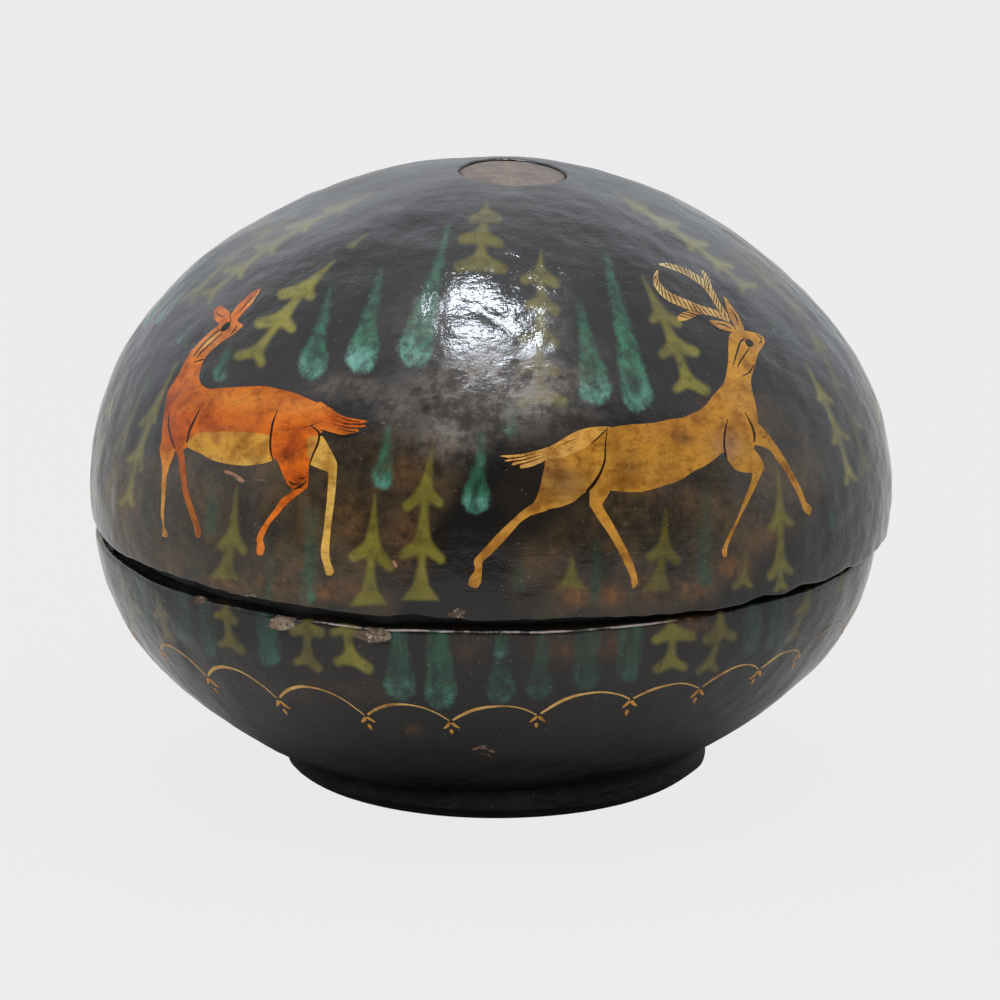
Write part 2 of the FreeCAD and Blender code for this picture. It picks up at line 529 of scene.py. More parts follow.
def find_run(wall, azimuth):
    """Run at which the wall meets its worn rim, for each azimuth."""
    rim_height = lid_rim_height if wall is lid else bowl_rim_height
    low_run, high_run = lid_run_range if wall is lid else bowl_run_range
    wear = worn_rim(wall, azimuth)
    low = np.full(len(azimuth), low_run)
    high = np.full(len(azimuth), high_run)
    for step in range(40):
        middle = (low + high) / 2
        points = wall.place(middle, azimuth)[0]
        past = (points[:, 2] - rim_height(points[:, 0], points[:, 1])) * wall.upward < wear
        high = np.where(past, middle, high)
        low = np.where(past, low, middle)
    return (low + high) / 2


def notch(azimuth, wall, pixel, width, depth):
    """Local extra wear of a rim at a photograph pixel."""
    centre = wall.seen([pixel])[1]
    away = np.angle(np.exp(1j * (azimuth - centre))) * rim_radius / width
    return depth * np.exp(-away * away / 2)


# Knocks in the rims: pixel, width and depth in millimetres
lid_notches = [
    ((411, 606), 3.2, 1.3),
    ((457, 612), 2.0, 0.5),
    ((200, 584), 5.0, 0.5),
    ((575, 610), 12.0, 0.6),
    ((740, 598), 26.0, -0.8),
    ((762, 598), 3.6, 1.1),
    ((803, 589), 4.2, 1.3),
    ((846, 578), 3.0, 0.8),
    ((696, 606), 2.6, 0.5),
]
bowl_notches = [
    ((284, 624), 3.4, 0.9),
    ((374, 634), 4.6, 1.1),
    ((215, 604), 4.0, 0.4),
]


def worn_rim(wall, azimuth):
    """How far a rim falls short of the cut, with its knocks."""
    seed, height, notches = (5, 0.25, lid_notches) if wall is lid else (25, 0.1, bowl_notches)
    wear = rim_wear(azimuth, seed, height)
    for pixel, width, depth in notches:
        wear += notch(azimuth, wall, pixel, width, depth)
    return wear


def front_columns(count, crowding):
    """Azimuths round the box, closer together at the front."""
    even = np.arange(count) * 2 * math.pi / count
    return even - crowding * np.sin(even + math.pi / 2)


def rim_section(wall, run, azimuth, round_radius):
    """Rows round a rim: the rounded outer edge, the flat across the wall and the return of the lip."""
    inner_depth = wall_thickness - lip_clearance
    points, normals = wall.place(run, azimuth)
    down = wall.place(run + 0.5, azimuth)[0] - wall.place(run - 0.5, azimuth)[0]
    down /= np.linalg.norm(down, axis=1)[:, None]
    points = points + normals * relief(wall, points)[:, None]
    rows = []
    for angle in np.radians([25.0, 50.0, 72.0, 90.0]):
        turned = normals * (math.cos(angle) - 1) + down * (math.sin(angle) - 1)
        rows.append(points + round_radius * turned)
    rows.append(points - rim_flat * normals)
    rows.append(points - inner_depth * normals)
    rows.append(points - inner_depth * normals - lip_rise * down)
    rows.append(points - skin_thickness * normals - lip_rise * down)
    return rows


# Painting, in photograph pixels
# A tree is a tone, an apex and a chain of units: the tips of its left and right lobes. A unit that ends in
# True is a bell.
lid_trees = [
    (0.54, (376, 191), [(322, 211, 338, 214), (284, 228, 303, 233), (253, 248, 271, 255),
                        (223, 271, 240, 280), (200, 294, 208, 304)]),
    (0.3, (300, 213), [(250, 235, 262, 240), (216, 262, 226, 268), (178, 300, 190, 306)]),
    (0.5, (366, 234), [(346, 247, 351, 250)]),
    (1.1, (335, 260), [(277, 296, 313, 300), (254, 325, 295, 332), (234, 357, 263, 367)]),
    (0.6, (177, 362), [(139, 427, 154, 424), (126, 462, 141, 473), (119, 506, 133, 508)]),
    (0.3, (150, 372), [(112, 452, 122, 450), (104, 492, 112, 494)]),
    (0.42, (487, 201), [(468, 220, 502, 220), (457, 240, 504, 246), (454, 268, 508, 271)]),
    (0.45, (541, 250), [(520, 281, 560, 286), (524, 307, 560, 313), (518, 342, 560, 346),
                        (515, 372, 560, 375), (516, 405, 568, 403)]),
    (0.62, (642, 276), [(650, 323, 682, 326), (659, 357, 700, 354), (673, 392, 710, 393)]),
    (0.6, (612, 190), [(636, 213, 648, 208), (663, 231, 680, 225), (692, 253, 709, 245),
                       (719, 273, 734, 267), (743, 294, 758, 287)]),
    (0.35, (730, 250), [(770, 286, 782, 282), (798, 318, 808, 312), (818, 354, 828, 350),
                        (836, 392, 844, 388)]),
    (0.3, (700, 215), [(742, 250, 752, 244), (788, 290, 798, 284)]),
    (0.9, (805, 362), [(819, 402, 834, 404), (834, 446, 850, 440), (846, 486, 858, 482)]),
    (0.3, (838, 390), [(852, 430, 862, 428), (862, 476, 872, 472)]),
    (0.5, (237, 482), [(217, 549, 246, 555), (207, 579, 238, 580, True)]),
    (0.64, (375, 494), [(349, 559, 393, 571), (347, 607, 389, 605, True)]),
    (0.6, (433, 441), [(403, 510, 443, 506), (399, 558, 445, 563), (399, 601, 441, 601, True)]),
    (0.42, (666, 508), [(646, 560, 680, 564), (641, 591, 672, 591, True)]),
    (0.5, (778, 470), [(768, 533, 794, 526), (768, 580, 793, 574), (774, 592, 788, 589)]),
    (0.35, (747, 552), [(732, 589, 753, 588)]),
    (0.4, (572, 556), [(555, 588, 588, 590, True)]),
]
bowl_trees = [
    (0.36, (156, 590), [(154, 618, 169, 618), (161, 642, 177, 642)]),
    (0.35, (118, 566), [(122, 590, 130, 588), (132, 618, 142, 614)]),
    (0.4, (225, 596), [(213, 616, 238, 624), (217, 646, 245, 654)]),
    (0.4, (306, 606), [(289, 633, 325, 635), (293, 664, 322, 672)]),
    (0.52, (344, 610), [(330, 634, 362, 634), (333, 663, 373, 672)]),
    (0.36, (668, 612), [(651, 642, 697, 637), (653, 672, 688, 669)]),
    (0.34, (722, 600), [(703, 643, 737, 639), (696, 674, 718, 672)]),
    (0.35, (812, 584), [(795, 616, 810, 612), (785, 643, 798, 639)]),
    (0.25, (846, 566), [(834, 594, 842, 590)]),
]
# A drop is a brush mark: top, bottom, width at the top and at the bottom, tone, pale bulb and dark hollow
lid_drops = [
    ((331, 286), (309, 379), 4, 29, 0.85, 0.95, 0.6),
    ((382, 268), (357, 373), 5, 33, 0.9, 1.0, 0.2),
    ((449, 224), (410, 367), 6, 35, 0.9, 0.75, 0.3),
    ((579, 300), (598, 405), 8, 33, 0.9, 0.7, 0.5),
    ((606, 254), (641, 411), 8, 31, 1.0, 0.35, 1.0),
    ((231, 345), (216, 381), 4, 15, 0.8, 0.8, 0.2),
    ((190, 326), (178, 343), 2, 5, 0.8, 0.8, 0.0),
    ((188, 340), (184, 347), 2, 4, 0.5, 0.5, 0.0),
    ((150, 378), (144, 390), 2, 4, 0.6, 0.5, 0.0),
    ((766, 315), (777, 332), 2, 6, 0.7, 0.5, 0.0),
    ((781, 328), (786, 337), 2, 6, 0.6, 0.4, 0.0),
    ((790, 338), (795, 346), 2, 5, 0.35, 0.2, 0.0),
    ((826, 330), (840, 352), 3, 6, 0.4, 0.2, 0.0),
    ((389, 424), (381, 490), 8, 23, 0.75, 0.5, 0.25),
    ((482, 430), (480, 468), 9, 11, 0.72, 0.3, 0.0),
    ((479, 462), (475, 513), 15, 29, 0.8, 0.6, 0.2),
    ((511, 398), (511, 437), 11, 14, 0.6, 0.3, 0.0),
    ((213, 474), (211, 538), 11, 16, 0.32, 0.1, 0.0),
    ((147, 488), (147, 526), 7, 11, 0.35, 0.1, 0.0),
    ((198, 543), (198, 577), 8, 11, 0.28, 0.1, 0.0),
    ((312, 505), (308, 605), 14, 18, 0.5, 0.25, 0.0),
    ((270, 537), (270, 600), 8, 11, 0.36, 0.1, 0.0),
    ((597, 538), (595, 606), 11, 14, 0.26, 0.0, 0.0),
    ((628, 560), (630, 606), 6, 8, 0.2, 0.0, 0.0),
    ((706, 480), (705, 588), 13, 17, 0.32, 0.1, 0.0),
    ((818, 444), (834, 530), 3, 8, 0.45, 0.3, 0.0),
    ((519, 560), (520, 592), 10, 16, 0.22, 0.0, 0.0),
    ((858, 470), (862, 530), 4, 7, 0.25, 0.0, 0.0),
    ((110, 500), (112, 535), 4, 7, 0.25, 0.0, 0.0),
]
bowl_drops = [
    ((136, 574), (149, 632), 9, 11, 0.45, 0.1, 0.0),
    ((180, 586), (186, 645), 14, 18, 0.36, 0.1, 0.0),
    ((203, 594), (212, 660), 14, 18, 0.36, 0.1, 0.0),
    ((263, 606), (272, 667), 18, 27, 0.46, 0.2, 0.2),
    ((399, 624), (400, 701), 16, 33, 0.55, 0.35, 0.45),
    ((437, 626), (442, 709), 24, 33, 0.58, 0.3, 0.15),
    ((502, 630), (501, 660), 13, 15, 0.5, 0.4, 0.0),
    ((501, 655), (500, 705), 16, 30, 0.45, 0.15, 0.2),
    ((542, 630), (541, 665), 11, 13, 0.42, 0.1, 0.0),
    ((540, 660), (538, 701), 17, 28, 0.38, 0.1, 0.45),
    ((589, 624), (585, 690), 27, 28, 0.34, 0.1, 0.1),
    ((633, 616), (627, 683), 28, 21, 0.46, 0.05, 0.0),
    ((755, 600), (750, 654), 17, 18, 0.36, 0.05, 0.0),
    ((780, 594), (775, 651), 17, 18, 0.36, 0.05, 0.0),
    ((822, 580), (818, 620), 7, 9, 0.3, 0.0, 0.0),
]
# The same kinds of marks between the animals on the two sides, laid out as if the side faced the camera
lid_side_trees = [
    (0.6, (447, 420), [(424, 478, 468, 480), (420, 534, 472, 538), (424, 588, 468, 588, True)]),
    (0.5, (577, 446), [(558, 502, 598, 500), (553, 556, 602, 560), (558, 592, 598, 591, True)]),
]
lid_side_drops = [
    ((470, 318), (462, 396), 5, 27, 0.75, 0.6, 0.3),
    ((514, 326), (511, 410), 5, 30, 0.8, 0.8, 0.2),
    ((556, 318), (563, 394), 5, 27, 0.75, 0.6, 0.3),
    ((512, 470), (512, 585), 12, 17, 0.4, 0.1, 0.0),
]
bowl_side_trees = [
    (0.4, (480, 596), [(462, 626, 502, 626), (464, 660, 500, 664)]),
    (0.36, (560, 596), [(542, 626, 580, 628), (544, 662, 578, 664)]),
]
bowl_side_drops = [
    ((430, 596), (430, 690), 16, 31, 0.5, 0.2, 0.3),
    ((521, 596), (521, 696), 18, 32, 0.5, 0.2, 0.2),
    ((604, 596), (604, 690), 16, 30, 0.45, 0.1, 0.3),
]
# Brown washes behind the animals, and their reddish patches: middle, half sizes and strength
left_hill = [(88, 500), (112, 456), (165, 446), (330, 440), (400, 424), (452, 428), (470, 447), (466, 474),
             (454, 502), (436, 526), (405, 556), (398, 590), (396, 620), (300, 620), (200, 600), (90, 560)]
right_hill = [(735, 392), (765, 393), (803, 416), (826, 438), (831, 465), (824, 490), (808, 515),
              (796, 530), (765, 553), (730, 574), (716, 604), (640, 620), (560, 626), (520, 616),
              (508, 580), (520, 552), (548, 528), (580, 500), (640, 470), (690, 430)]
lid_earth = [
    ((222, 584), 26, 9, 0.55),
    ((275, 583), 20, 9, 0.6),
    ((330, 591), 30, 9, 0.85),
    ((410, 545), 18, 28, 0.45),
    ((350, 520), 18, 24, 0.3),
    ((410, 470), 26, 22, 0.25),
    ((576, 594), 14, 11, 0.85),
    ((612, 595), 13, 11, 0.9),
    ((650, 588), 22, 16, 0.55),
    ((688, 590), 18, 8, 0.75),
    ((734, 569), 16, 13, 0.85),
    ((765, 540), 16, 16, 0.4),
    ((690, 500), 30, 20, 0.2),
    ((545, 560), 22, 18, 0.25),
    ((715, 405), 22, 12, 0.3),
]
bowl_earth = [
    ((560, 650), 28, 12, 0.3),
    ((608, 645), 20, 14, 0.3),
    ((690, 625), 26, 12, 0.4),
    ((470, 650), 16, 14, 0.2),
    ((413, 731), 7, 5, 0.6),
    ((255, 600), 40, 8, 0.2),
    ((340, 690), 70, 10, 0.15),
]
# Abraded varnish that scatters the light, painted paler as well as sheen where the halo of the overhead
# highlight falls
lid_rubs_and_sheen = [
    ((500, 386), 80, 42, 1.0),
    ((452, 430), 44, 26, 0.65),
    ((398, 404), 36, 24, 0.45),
    ((548, 318), 22, 40, 0.35),
    ((350, 388), 46, 14, 0.4),
    ((440, 330), 60, 50, 0.25),
]
# Scratches down to the ground: a line and its width
lid_scrapes = [
    ([(225, 471), (234, 475), (243, 481)], 4.0),
    ([(237, 480), (250, 480), (264, 481)], 2.6),
    ([(378, 420), (390, 427), (405, 423)], 1.6),
    ([(394, 561), (396, 567)], 4.0),
    ([(450, 580), (457, 577)], 1.8),
    ([(336, 484), (344, 478)], 1.6),
    ([(184, 520), (187, 528)], 1.4),
    ([(188, 540), (190, 546)], 2.0),
]
bowl_scrapes = [
    ([(472, 750), (480, 747), (494, 752)], 1.6),
    ([(480, 753), (492, 757)], 1.2),
]
# Bare pulp where the lacquer is knocked off: middle and half sizes
lid_chips = [
    ((457, 614), 9, 5.5),
    # This chip on the lid's edge also stands in for a painted highlight, a small glint on the edge
    ((249, 597), 8, 4),
    ((462, 170), 3, 2),
]
bowl_chips = [
    ((283, 623), 14, 8),
    ((374, 635), 19, 7.5),
    ((199, 599), 6, 5),
    ((484, 748), 6, 3),
    ((652, 672), 2.5, 2),
    ((643, 621), 2, 1.5),
]


def chain_field(pixels, places, sizes):
    """Distance in pixels outside a chain of round brush marks, and the share of the chain nearest to it."""
    places = np.asarray(places, float)
    best = np.full(len(pixels), 1e3)
    along = np.zeros(len(pixels))
    count = len(places) - 1
    for k in range(count):
        span = places[k + 1] - places[k]
        share = np.clip((pixels - places[k]) @ span / max(span @ span, 1e-6), 0, 1)
        nearest = places[k] + share[:, None] * span
        distance = np.linalg.norm(pixels - nearest, axis=1) - (sizes[k] + share * (sizes[k + 1] - sizes[k]))
        closer = distance < best
        best = np.where(closer, distance, best)
        along = np.where(closer, (k + share) / count, along)
    return best, along


def outline_field(pixels, corners):
    """Distance in pixels outside a closed outline."""
    corners = np.asarray(corners, float)
    following = np.roll(corners, -1, axis=0)
    best = np.full(len(pixels), 1e3)
    inside = np.zeros(len(pixels), bool)
    for a, b in zip(corners, following):
        span = b - a
        share = np.clip((pixels - a) @ span / (span @ span), 0, 1)
        best = np.minimum(best, np.linalg.norm(pixels - a - share[:, None] * span, axis=1))
        crosses = (a[1] > pixels[:, 1]) != (b[1] > pixels[:, 1])
        slope = span[0] / span[1] if span[1] else 0.0
        inside ^= crosses & (pixels[:, 0] < a[0] + (pixels[:, 1] - a[1]) * slope)
    return np.where(inside, -best, best)


def soft_union(first, second, reach):
    """Smaller of two distances, with the crease between them filled over that reach."""
    share = np.clip(0.5 + 0.5 * (second - first) / reach, 0, 1)
    return second * (1 - share) + first * share - reach * share * (1 - share)


def tree_marks(apex, units):
    """Brush marks and bells of one tree: each unit is a spear that widens into two thick lobes or a bell."""
    marks = []
    bells = []
    start = np.array(apex, float)
    for k, (left_x, left_y, right_x, right_y, *bell) in enumerate(units):
        left = np.array([left_x, left_y], float)
        right = np.array([right_x, right_y], float)
        middle = (left + right) / 2
        width = np.linalg.norm(right - left)
        trunk = min(0.09 * width + 1.0, 4.2)
        body = 0.16 * width + 1.2
        lobe = min(0.12 * width + 1.2, 5.6)
        joint = start + (bell_fork_share if bell else lobe_fork_share) * (middle - start)
        top_size = trunk if k else 0.8
        waist_size = max(trunk, 0.55 * body) * (1.0 if k else 0.8)
        joint_size = trunk if bell else body
        marks.append(([start, (start + joint) / 2, joint], [top_size, waist_size, joint_size]))
        if bell:
            across = (right - left) / width * trunk
            knee = joint + bell_knee_share * (middle - joint)
            flare = bell_flare_share * across
            bells.append([joint - across, joint + across, knee + flare, right, left, knee - flare])
        else:
            for tip in (left, right):
                end = tip + (joint - tip) * min(0.5, lobe / (np.linalg.norm(joint - tip) + 1e-6))
                marks.append(([joint, end], [0.9 * body, lobe]))
        start = joint + next_unit_share * (middle - joint)
    return marks, bells


def drop_mark(top, bottom, top_width, bottom_width):
    """Brush mark of one drop, and its direction."""
    top = np.array(top, float)
    bottom = np.array(bottom, float)
    heading = (bottom - top) / np.linalg.norm(bottom - top)
    start = top + heading * top_width / 2
    end = bottom - heading * bottom_width / 2
    places = start + drop_length_shares[:, None] * (end - start)
    return places, (top_width + (bottom_width - top_width) * drop_swell_shares) / 2, heading


def front_pixels(wall, run, azimuth):
    """Photograph pixels of places on the uneven wall, with the back half painted as the front is."""
    facing = np.where(np.sin(azimuth) < 0, azimuth, azimuth + math.pi)
    return project(on_wall(wall, run + seam_shift(wall, run, azimuth), facing))


def side_pixels(wall, run, azimuth):
    """Photograph pixels of places as if the box were turned with that side to the front."""
    facing = azimuth - np.sign(np.cos(azimuth)) * math.pi / 2
    return project(wall.place(run, facing)[0])


def patch_field(pixels, patches):
    """Strength of soft oval patches."""
    level = np.zeros(len(pixels))
    for (x, y), half_length, half_height, strength in patches:
        away = ((pixels[:, 0] - x) / half_length) ** 2 + ((pixels[:, 1] - y) / half_height) ** 2
        level = np.maximum(level, strength * np.exp(-1.1 * away))
    return level


def tree_fields(pixels, trees):
    best = np.full(len(pixels), far_away)
    tone = np.zeros(len(pixels))
    for strength, apex, units in trees:
        whole = np.full(len(pixels), far_away)
        marks, bells = tree_marks(apex, units)
        for places, sizes in marks:
            whole = soft_union(whole, chain_field(pixels, places, sizes)[0], lobe_crease)
        for corners in bells:
            whole = soft_union(whole, outline_field(pixels, corners), bell_crease)
        tone = np.where(whole < best, strength, tone)
        best = np.minimum(best, whole)
    return best * pixel_mm, tone


def drop_fields(pixels, drops):
    best = np.full(len(pixels), far_away)
    tone = np.zeros(len(pixels))
    pale = np.zeros(len(pixels))
    for top, bottom, top_width, bottom_width, strength, bulb, hollow in drops:
        places, sizes, heading = drop_mark(top, bottom, top_width, bottom_width)
        distance, along = chain_field(pixels, places, sizes)
        heart = places[-1] - 0.35 * bottom_width * heading
        away = ((pixels - heart) @ heading / (0.5 * bottom_width)) ** 2
        away += (np.cross(heading, pixels - heart) / (0.24 * bottom_width)) ** 2
        dark = hollow * np.exp(-away)
        closer = distance < best
        tone = np.where(closer, strength * (0.62 + 0.38 * along) * (1 - 0.85 * dark), tone)
        pale = np.where(closer, strength * bulb * smooth(0.7, 0.98, along) * (1 - 0.7 * dark), pale)
        best = np.minimum(best, distance)
    return best * pixel_mm, tone, pale


def chip_field(pixels, chips):
    best = np.full(len(pixels), far_away)
    for (x, y), half_length, half_height in chips:
        away = np.hypot((pixels[:, 0] - x) / half_length, (pixels[:, 1] - y) / half_height)
        best = np.minimum(best, (away - 1) * min(half_length, half_height))
    return best * pixel_mm


def painted_fields(wall, run, azimuth, bare):
    """Point values that the lacquer's shader reads: millimetres outside each kind of mark, and strengths.
    Bare places take no paint, and the back has no damage."""
    pixels = front_pixels(wall, run, azimuth)
    on_lid = wall is lid
    sound = bare | (np.sin(azimuth) > 0)
    tree, tree_tone = tree_fields(pixels, lid_trees if on_lid else bowl_trees)
    drop, drop_tone, drop_pale = drop_fields(pixels, lid_drops if on_lid else bowl_drops)
    beside = np.abs(np.sin(azimuth)) < side_reach
    turned = side_pixels(wall, run, azimuth)
    more_tree, more_tone = tree_fields(turned, lid_side_trees if on_lid else bowl_side_trees)
    closer = beside & (more_tree < tree)
    tree = np.where(closer, more_tree, tree)
    tree_tone = np.where(closer, more_tone, tree_tone)
    more_drop, more_tone, more_pale = drop_fields(turned, lid_side_drops if on_lid else bowl_side_drops)
    closer = beside & (more_drop < drop)
    drop = np.where(closer, more_drop, drop)
    drop_tone = np.where(closer, more_tone, drop_tone)
    drop_pale = np.where(closer, more_pale, drop_pale)
    hill = np.full(len(pixels), far_away)
    for corners in (left_hill, right_hill) if on_lid else ():
        hill = np.minimum(hill, outline_field(pixels, corners))
    scrape = np.full(len(pixels), far_away)
    for line, width in lid_scrapes if on_lid else bowl_scrapes:
        scrape = np.minimum(scrape, chain_field(pixels, line, [width / 2] * len(line))[0])
    return {
        "tree": np.where(bare, far_away, tree),
        "tree_tone": tree_tone,
        "drop": np.where(bare, far_away, drop),
        "drop_tone": drop_tone,
        "drop_pale": drop_pale,
        "hill": np.where(bare, far_away, np.clip(hill, -far_away, far_away) * pixel_mm),
        "earth": np.where(bare, 0.0, patch_field(pixels, lid_earth if on_lid else bowl_earth)),
        "rub_and_sheen": np.where(sound, 0.0, patch_field(pixels, lid_rubs_and_sheen if on_lid else [])),
        "scrape": np.where(sound, far_away, scrape * pixel_mm),
        "chip": np.where(sound, far_away, chip_field(pixels, lid_chips if on_lid else bowl_chips)),
    }


# Lid
def around(azimuth):
    """Level unit directions."""
    return np.stack([np.cos(azimuth), np.sin(azimuth)], axis=-1)


def run_and_azimuth(spots):
    """Run and azimuth of spots on the lid's outside, spread flat about its pole."""
    return np.hypot(spots[:, 0], spots[:, 1]), np.arctan2(spots[:, 1], spots[:, 0])


def lid_map(azimuth, share, rim_run):
    """Run and azimuth on a fan of lines from the disc's edge to the rim."""
    heading = around(azimuth)
    start = disc_offset + (disc_radius + disc_clearance) * heading
    return run_and_azimuth(start * (1 - share) + heading * (rim_run * share)[:, None])


def make_lid_skin():
    azimuth = front_columns(lid_columns, front_crowding)
    rim_run = find_run(lid, azimuth)
    painted_run = rim_run - lid_edge_round
    rows = []
    runs = []
    headings = []
    shares = np.concatenate([[0.0, 0.0015, 0.004, 0.008], np.linspace(0.014, 1, lid_rows - 4)])
    sinks = np.concatenate([[0.5, 0.2, 0.05], np.zeros(lid_rows - 3)])
    for share, sink in zip(shares, sinks):
        run, heading = lid_map(azimuth, share, painted_run)
        rows.append(on_wall(lid, run, heading, -sink))
        runs.append(run)
        headings.append(heading)
    painted_rows = len(rows)
    for row in rim_section(lid, rim_run, azimuth, lid_edge_round):
        rows.append(row)
        runs.append(rim_run)
        headings.append(azimuth)
    for share in np.linspace(0.985, 0, lid_inner_rows):
        run, heading = lid_map(azimuth, share, painted_run)
        rows.append(on_wall(lid, run, heading, -skin_thickness))
        runs.append(run)
        headings.append(heading)
    bare = np.tile(np.arange(len(rows)) > painted_rows + 2, len(azimuth))
    run = np.stack(runs, axis=1).ravel()
    heading = np.stack(headings, axis=1).ravel()
    values = painted_fields(lid, run, heading, bare)
    return ring_piece("lid_painted_skin", np.stack(rows, axis=1), values)


def make_lid_layer(name, outer, inner, seat_depth):
    """Inner layer of the lid, with the disc's seat let into it where that reaches so deep."""
    azimuth = front_columns(layer_columns, 0.0)
    rim_run = find_run(lid, azimuth) - layer_set_back
    rows = []
    if seat_depth > outer:
        for share in (0.25, 0.5, 0.75, 1.0):
            seat_radius = share * (disc_radius + disc_clearance)
            run, heading = run_and_azimuth(disc_offset + seat_radius * around(azimuth))
            rows.append(on_wall(lid, run, heading, -seat_depth))
    for share in np.linspace(0, 1, lid_layer_rows):
        run, heading = lid_map(azimuth, share, rim_run)
        rows.append(on_wall(lid, run, heading, -outer))
    for share in np.linspace(1, 0, lid_layer_rows):
        run, heading = lid_map(azimuth, share, rim_run)
        rows.append(on_wall(lid, run, heading, -inner))
    middle_run, middle_heading = run_and_azimuth(disc_offset[None, :])
    first = on_wall(lid, middle_run, middle_heading, -max(outer, seat_depth))[0]
    last = on_wall(lid, middle_run, middle_heading, -inner)[0]
    return dome_piece(name, np.stack(rows, axis=1), first, last)


def make_crown_disc():
    """Worn wooden disc, rounded with the crown, with a broken edge."""
    azimuth = front_columns(disc_columns, 0.0)
    heading = around(azimuth)
    top = disc_proud - disc_sunk
    bottom = disc_proud - disc_thickness
    section = [(share, top) for share in np.linspace(0.08, 0.92, 12)]
    section += [(0.955, top - 0.06), (0.978, top - 0.2), (0.992, top - 0.5)]
    top_rows = len(section)
    section += [(0.997, top - 0.9), (0.997, bottom), (0.6, bottom)]
    rows = []
    for k, (share, level) in enumerate(section):
        worn = 1 - 0.012 * (1 + np.sin(5 * azimuth + 1.0) * np.sin(3 * azimuth)) * smooth(0.5, 1.0, share)
        run, place_heading = run_and_azimuth(disc_offset + (disc_radius * share * worn)[:, None] * heading)
        points, normals = lid.place(run, place_heading)
        if k < top_rows:
            level = level + relief(lid, points)
            level += 0.05 * waves(points, 9.0, 41) + 0.03 * waves(points, 4.0, 42)
        rows.append(points + normals * np.reshape(level, (-1, 1)))
    middle_run, middle_heading = run_and_azimuth(disc_offset[None, :])
    first = on_wall(lid, middle_run, middle_heading, top)[0]
    points, normals = lid.place(middle_run, middle_heading)
    last = (points - normals * disc_thickness)[0]
    return dome_piece("crown_disc_worn", np.stack(rows, axis=1), first, last)


# Bowl: runs of its rows of points, which are below 0 on the flat floor
bowl_floor_runs = (-34.0, -24.0, -14.0, -5.0, -0.5, 4.0, 9.0, 14.0, 18.0)
bowl_flank_start = 20.0
bowl_inner_floor_run = -22.0
layer_floor_runs = (-28.0, -14.0, -0.5)


def make_bowl_skin():
    azimuth = front_columns(bowl_columns, front_crowding)
    rim_run = find_run(bowl, azimuth)
    painted_run = rim_run - bowl_edge_round
    rows = []
    runs = []
    for level_run in bowl_floor_runs:
        run = np.full(len(azimuth), level_run)
        rows.append(on_wall(bowl, run, azimuth))
        runs.append(run)
    for share in np.linspace(0, 1, bowl_rows):
        run = bowl_flank_start + share * (painted_run - bowl_flank_start)
        rows.append(on_wall(bowl, run, azimuth))
        runs.append(run)
    painted_rows = len(rows)
    for row in rim_section(bowl, rim_run, azimuth, bowl_edge_round):
        rows.append(row)
        runs.append(rim_run)
    for share in np.linspace(0.985, 0, bowl_inner_rows):
        run = share * painted_run
        rows.append(on_wall(bowl, run, azimuth, -skin_thickness))
        runs.append(run)
    run = np.full(len(azimuth), bowl_inner_floor_run)
    rows.append(on_wall(bowl, run, azimuth, -skin_thickness))
    runs.append(run)
    run = np.stack(runs, axis=1).ravel()
    heading = np.repeat(azimuth, len(rows))
    bare = np.tile(np.arange(len(rows)) > painted_rows + 3, len(azimuth))
    values = painted_fields(bowl, run, heading, bare)
    # A pale line along the rim's outer edge, strongest across the front: lacquer worn through, and a painted
    # highlight where the edge catches the light
    on_edge = np.zeros(len(rows))
    on_edge[painted_rows:painted_rows + 3] = 0.05, 1.0, 0.12
    edge_x = front_pixels(bowl, rim_run, azimuth)[:, 0]
    edge_wear_and_highlight = 0.3 + 0.7 * smooth(285, 350, edge_x) * smooth(-700, -630, -edge_x)
    values["worn"] = (edge_wear_and_highlight[:, None] * on_edge[None, :]).ravel()
    first = np.array([bowl_offset, 0.0, floor_height])
    last = np.array([bowl_offset, 0.0, floor_height + skin_thickness])
    for key in values:
        values[key] = np.concatenate([values[key], values[key][-2:]])
    return dome_piece("bowl_painted_skin", np.stack(rows, axis=1), first, last, values)


def make_bowl_layer(name, outer, inner):
    azimuth = front_columns(layer_columns, 0.0)
    rim_run = find_run(bowl, azimuth) - layer_set_back
    rows = []
    for lift, order in ((-outer, 1), (-inner, -1)):
        layer = [on_wall(bowl, np.full(len(azimuth), run), azimuth, lift) for run in layer_floor_runs]
        for share in np.linspace(0.02, 1, bowl_layer_rows):
            layer.append(on_wall(bowl, share * rim_run, azimuth, lift))
        rows += layer[::order]
    first = np.array([bowl_offset, 0.0, floor_height + outer])
    last = np.array([bowl_offset, 0.0, floor_height + inner])
    return dome_piece(name, np.stack(rows, axis=1), first, last)


def bowl_underside(points):
    """Height of the bowl's outside over points near its foot."""
    reach = np.hypot(points[:, 0] - bowl_offset, points[:, 1]) - bowl.near_centre[0]
    return np.maximum(bowl.near_centre[1] - np.sqrt(bowl.near_radius**2 - reach**2), floor_height)


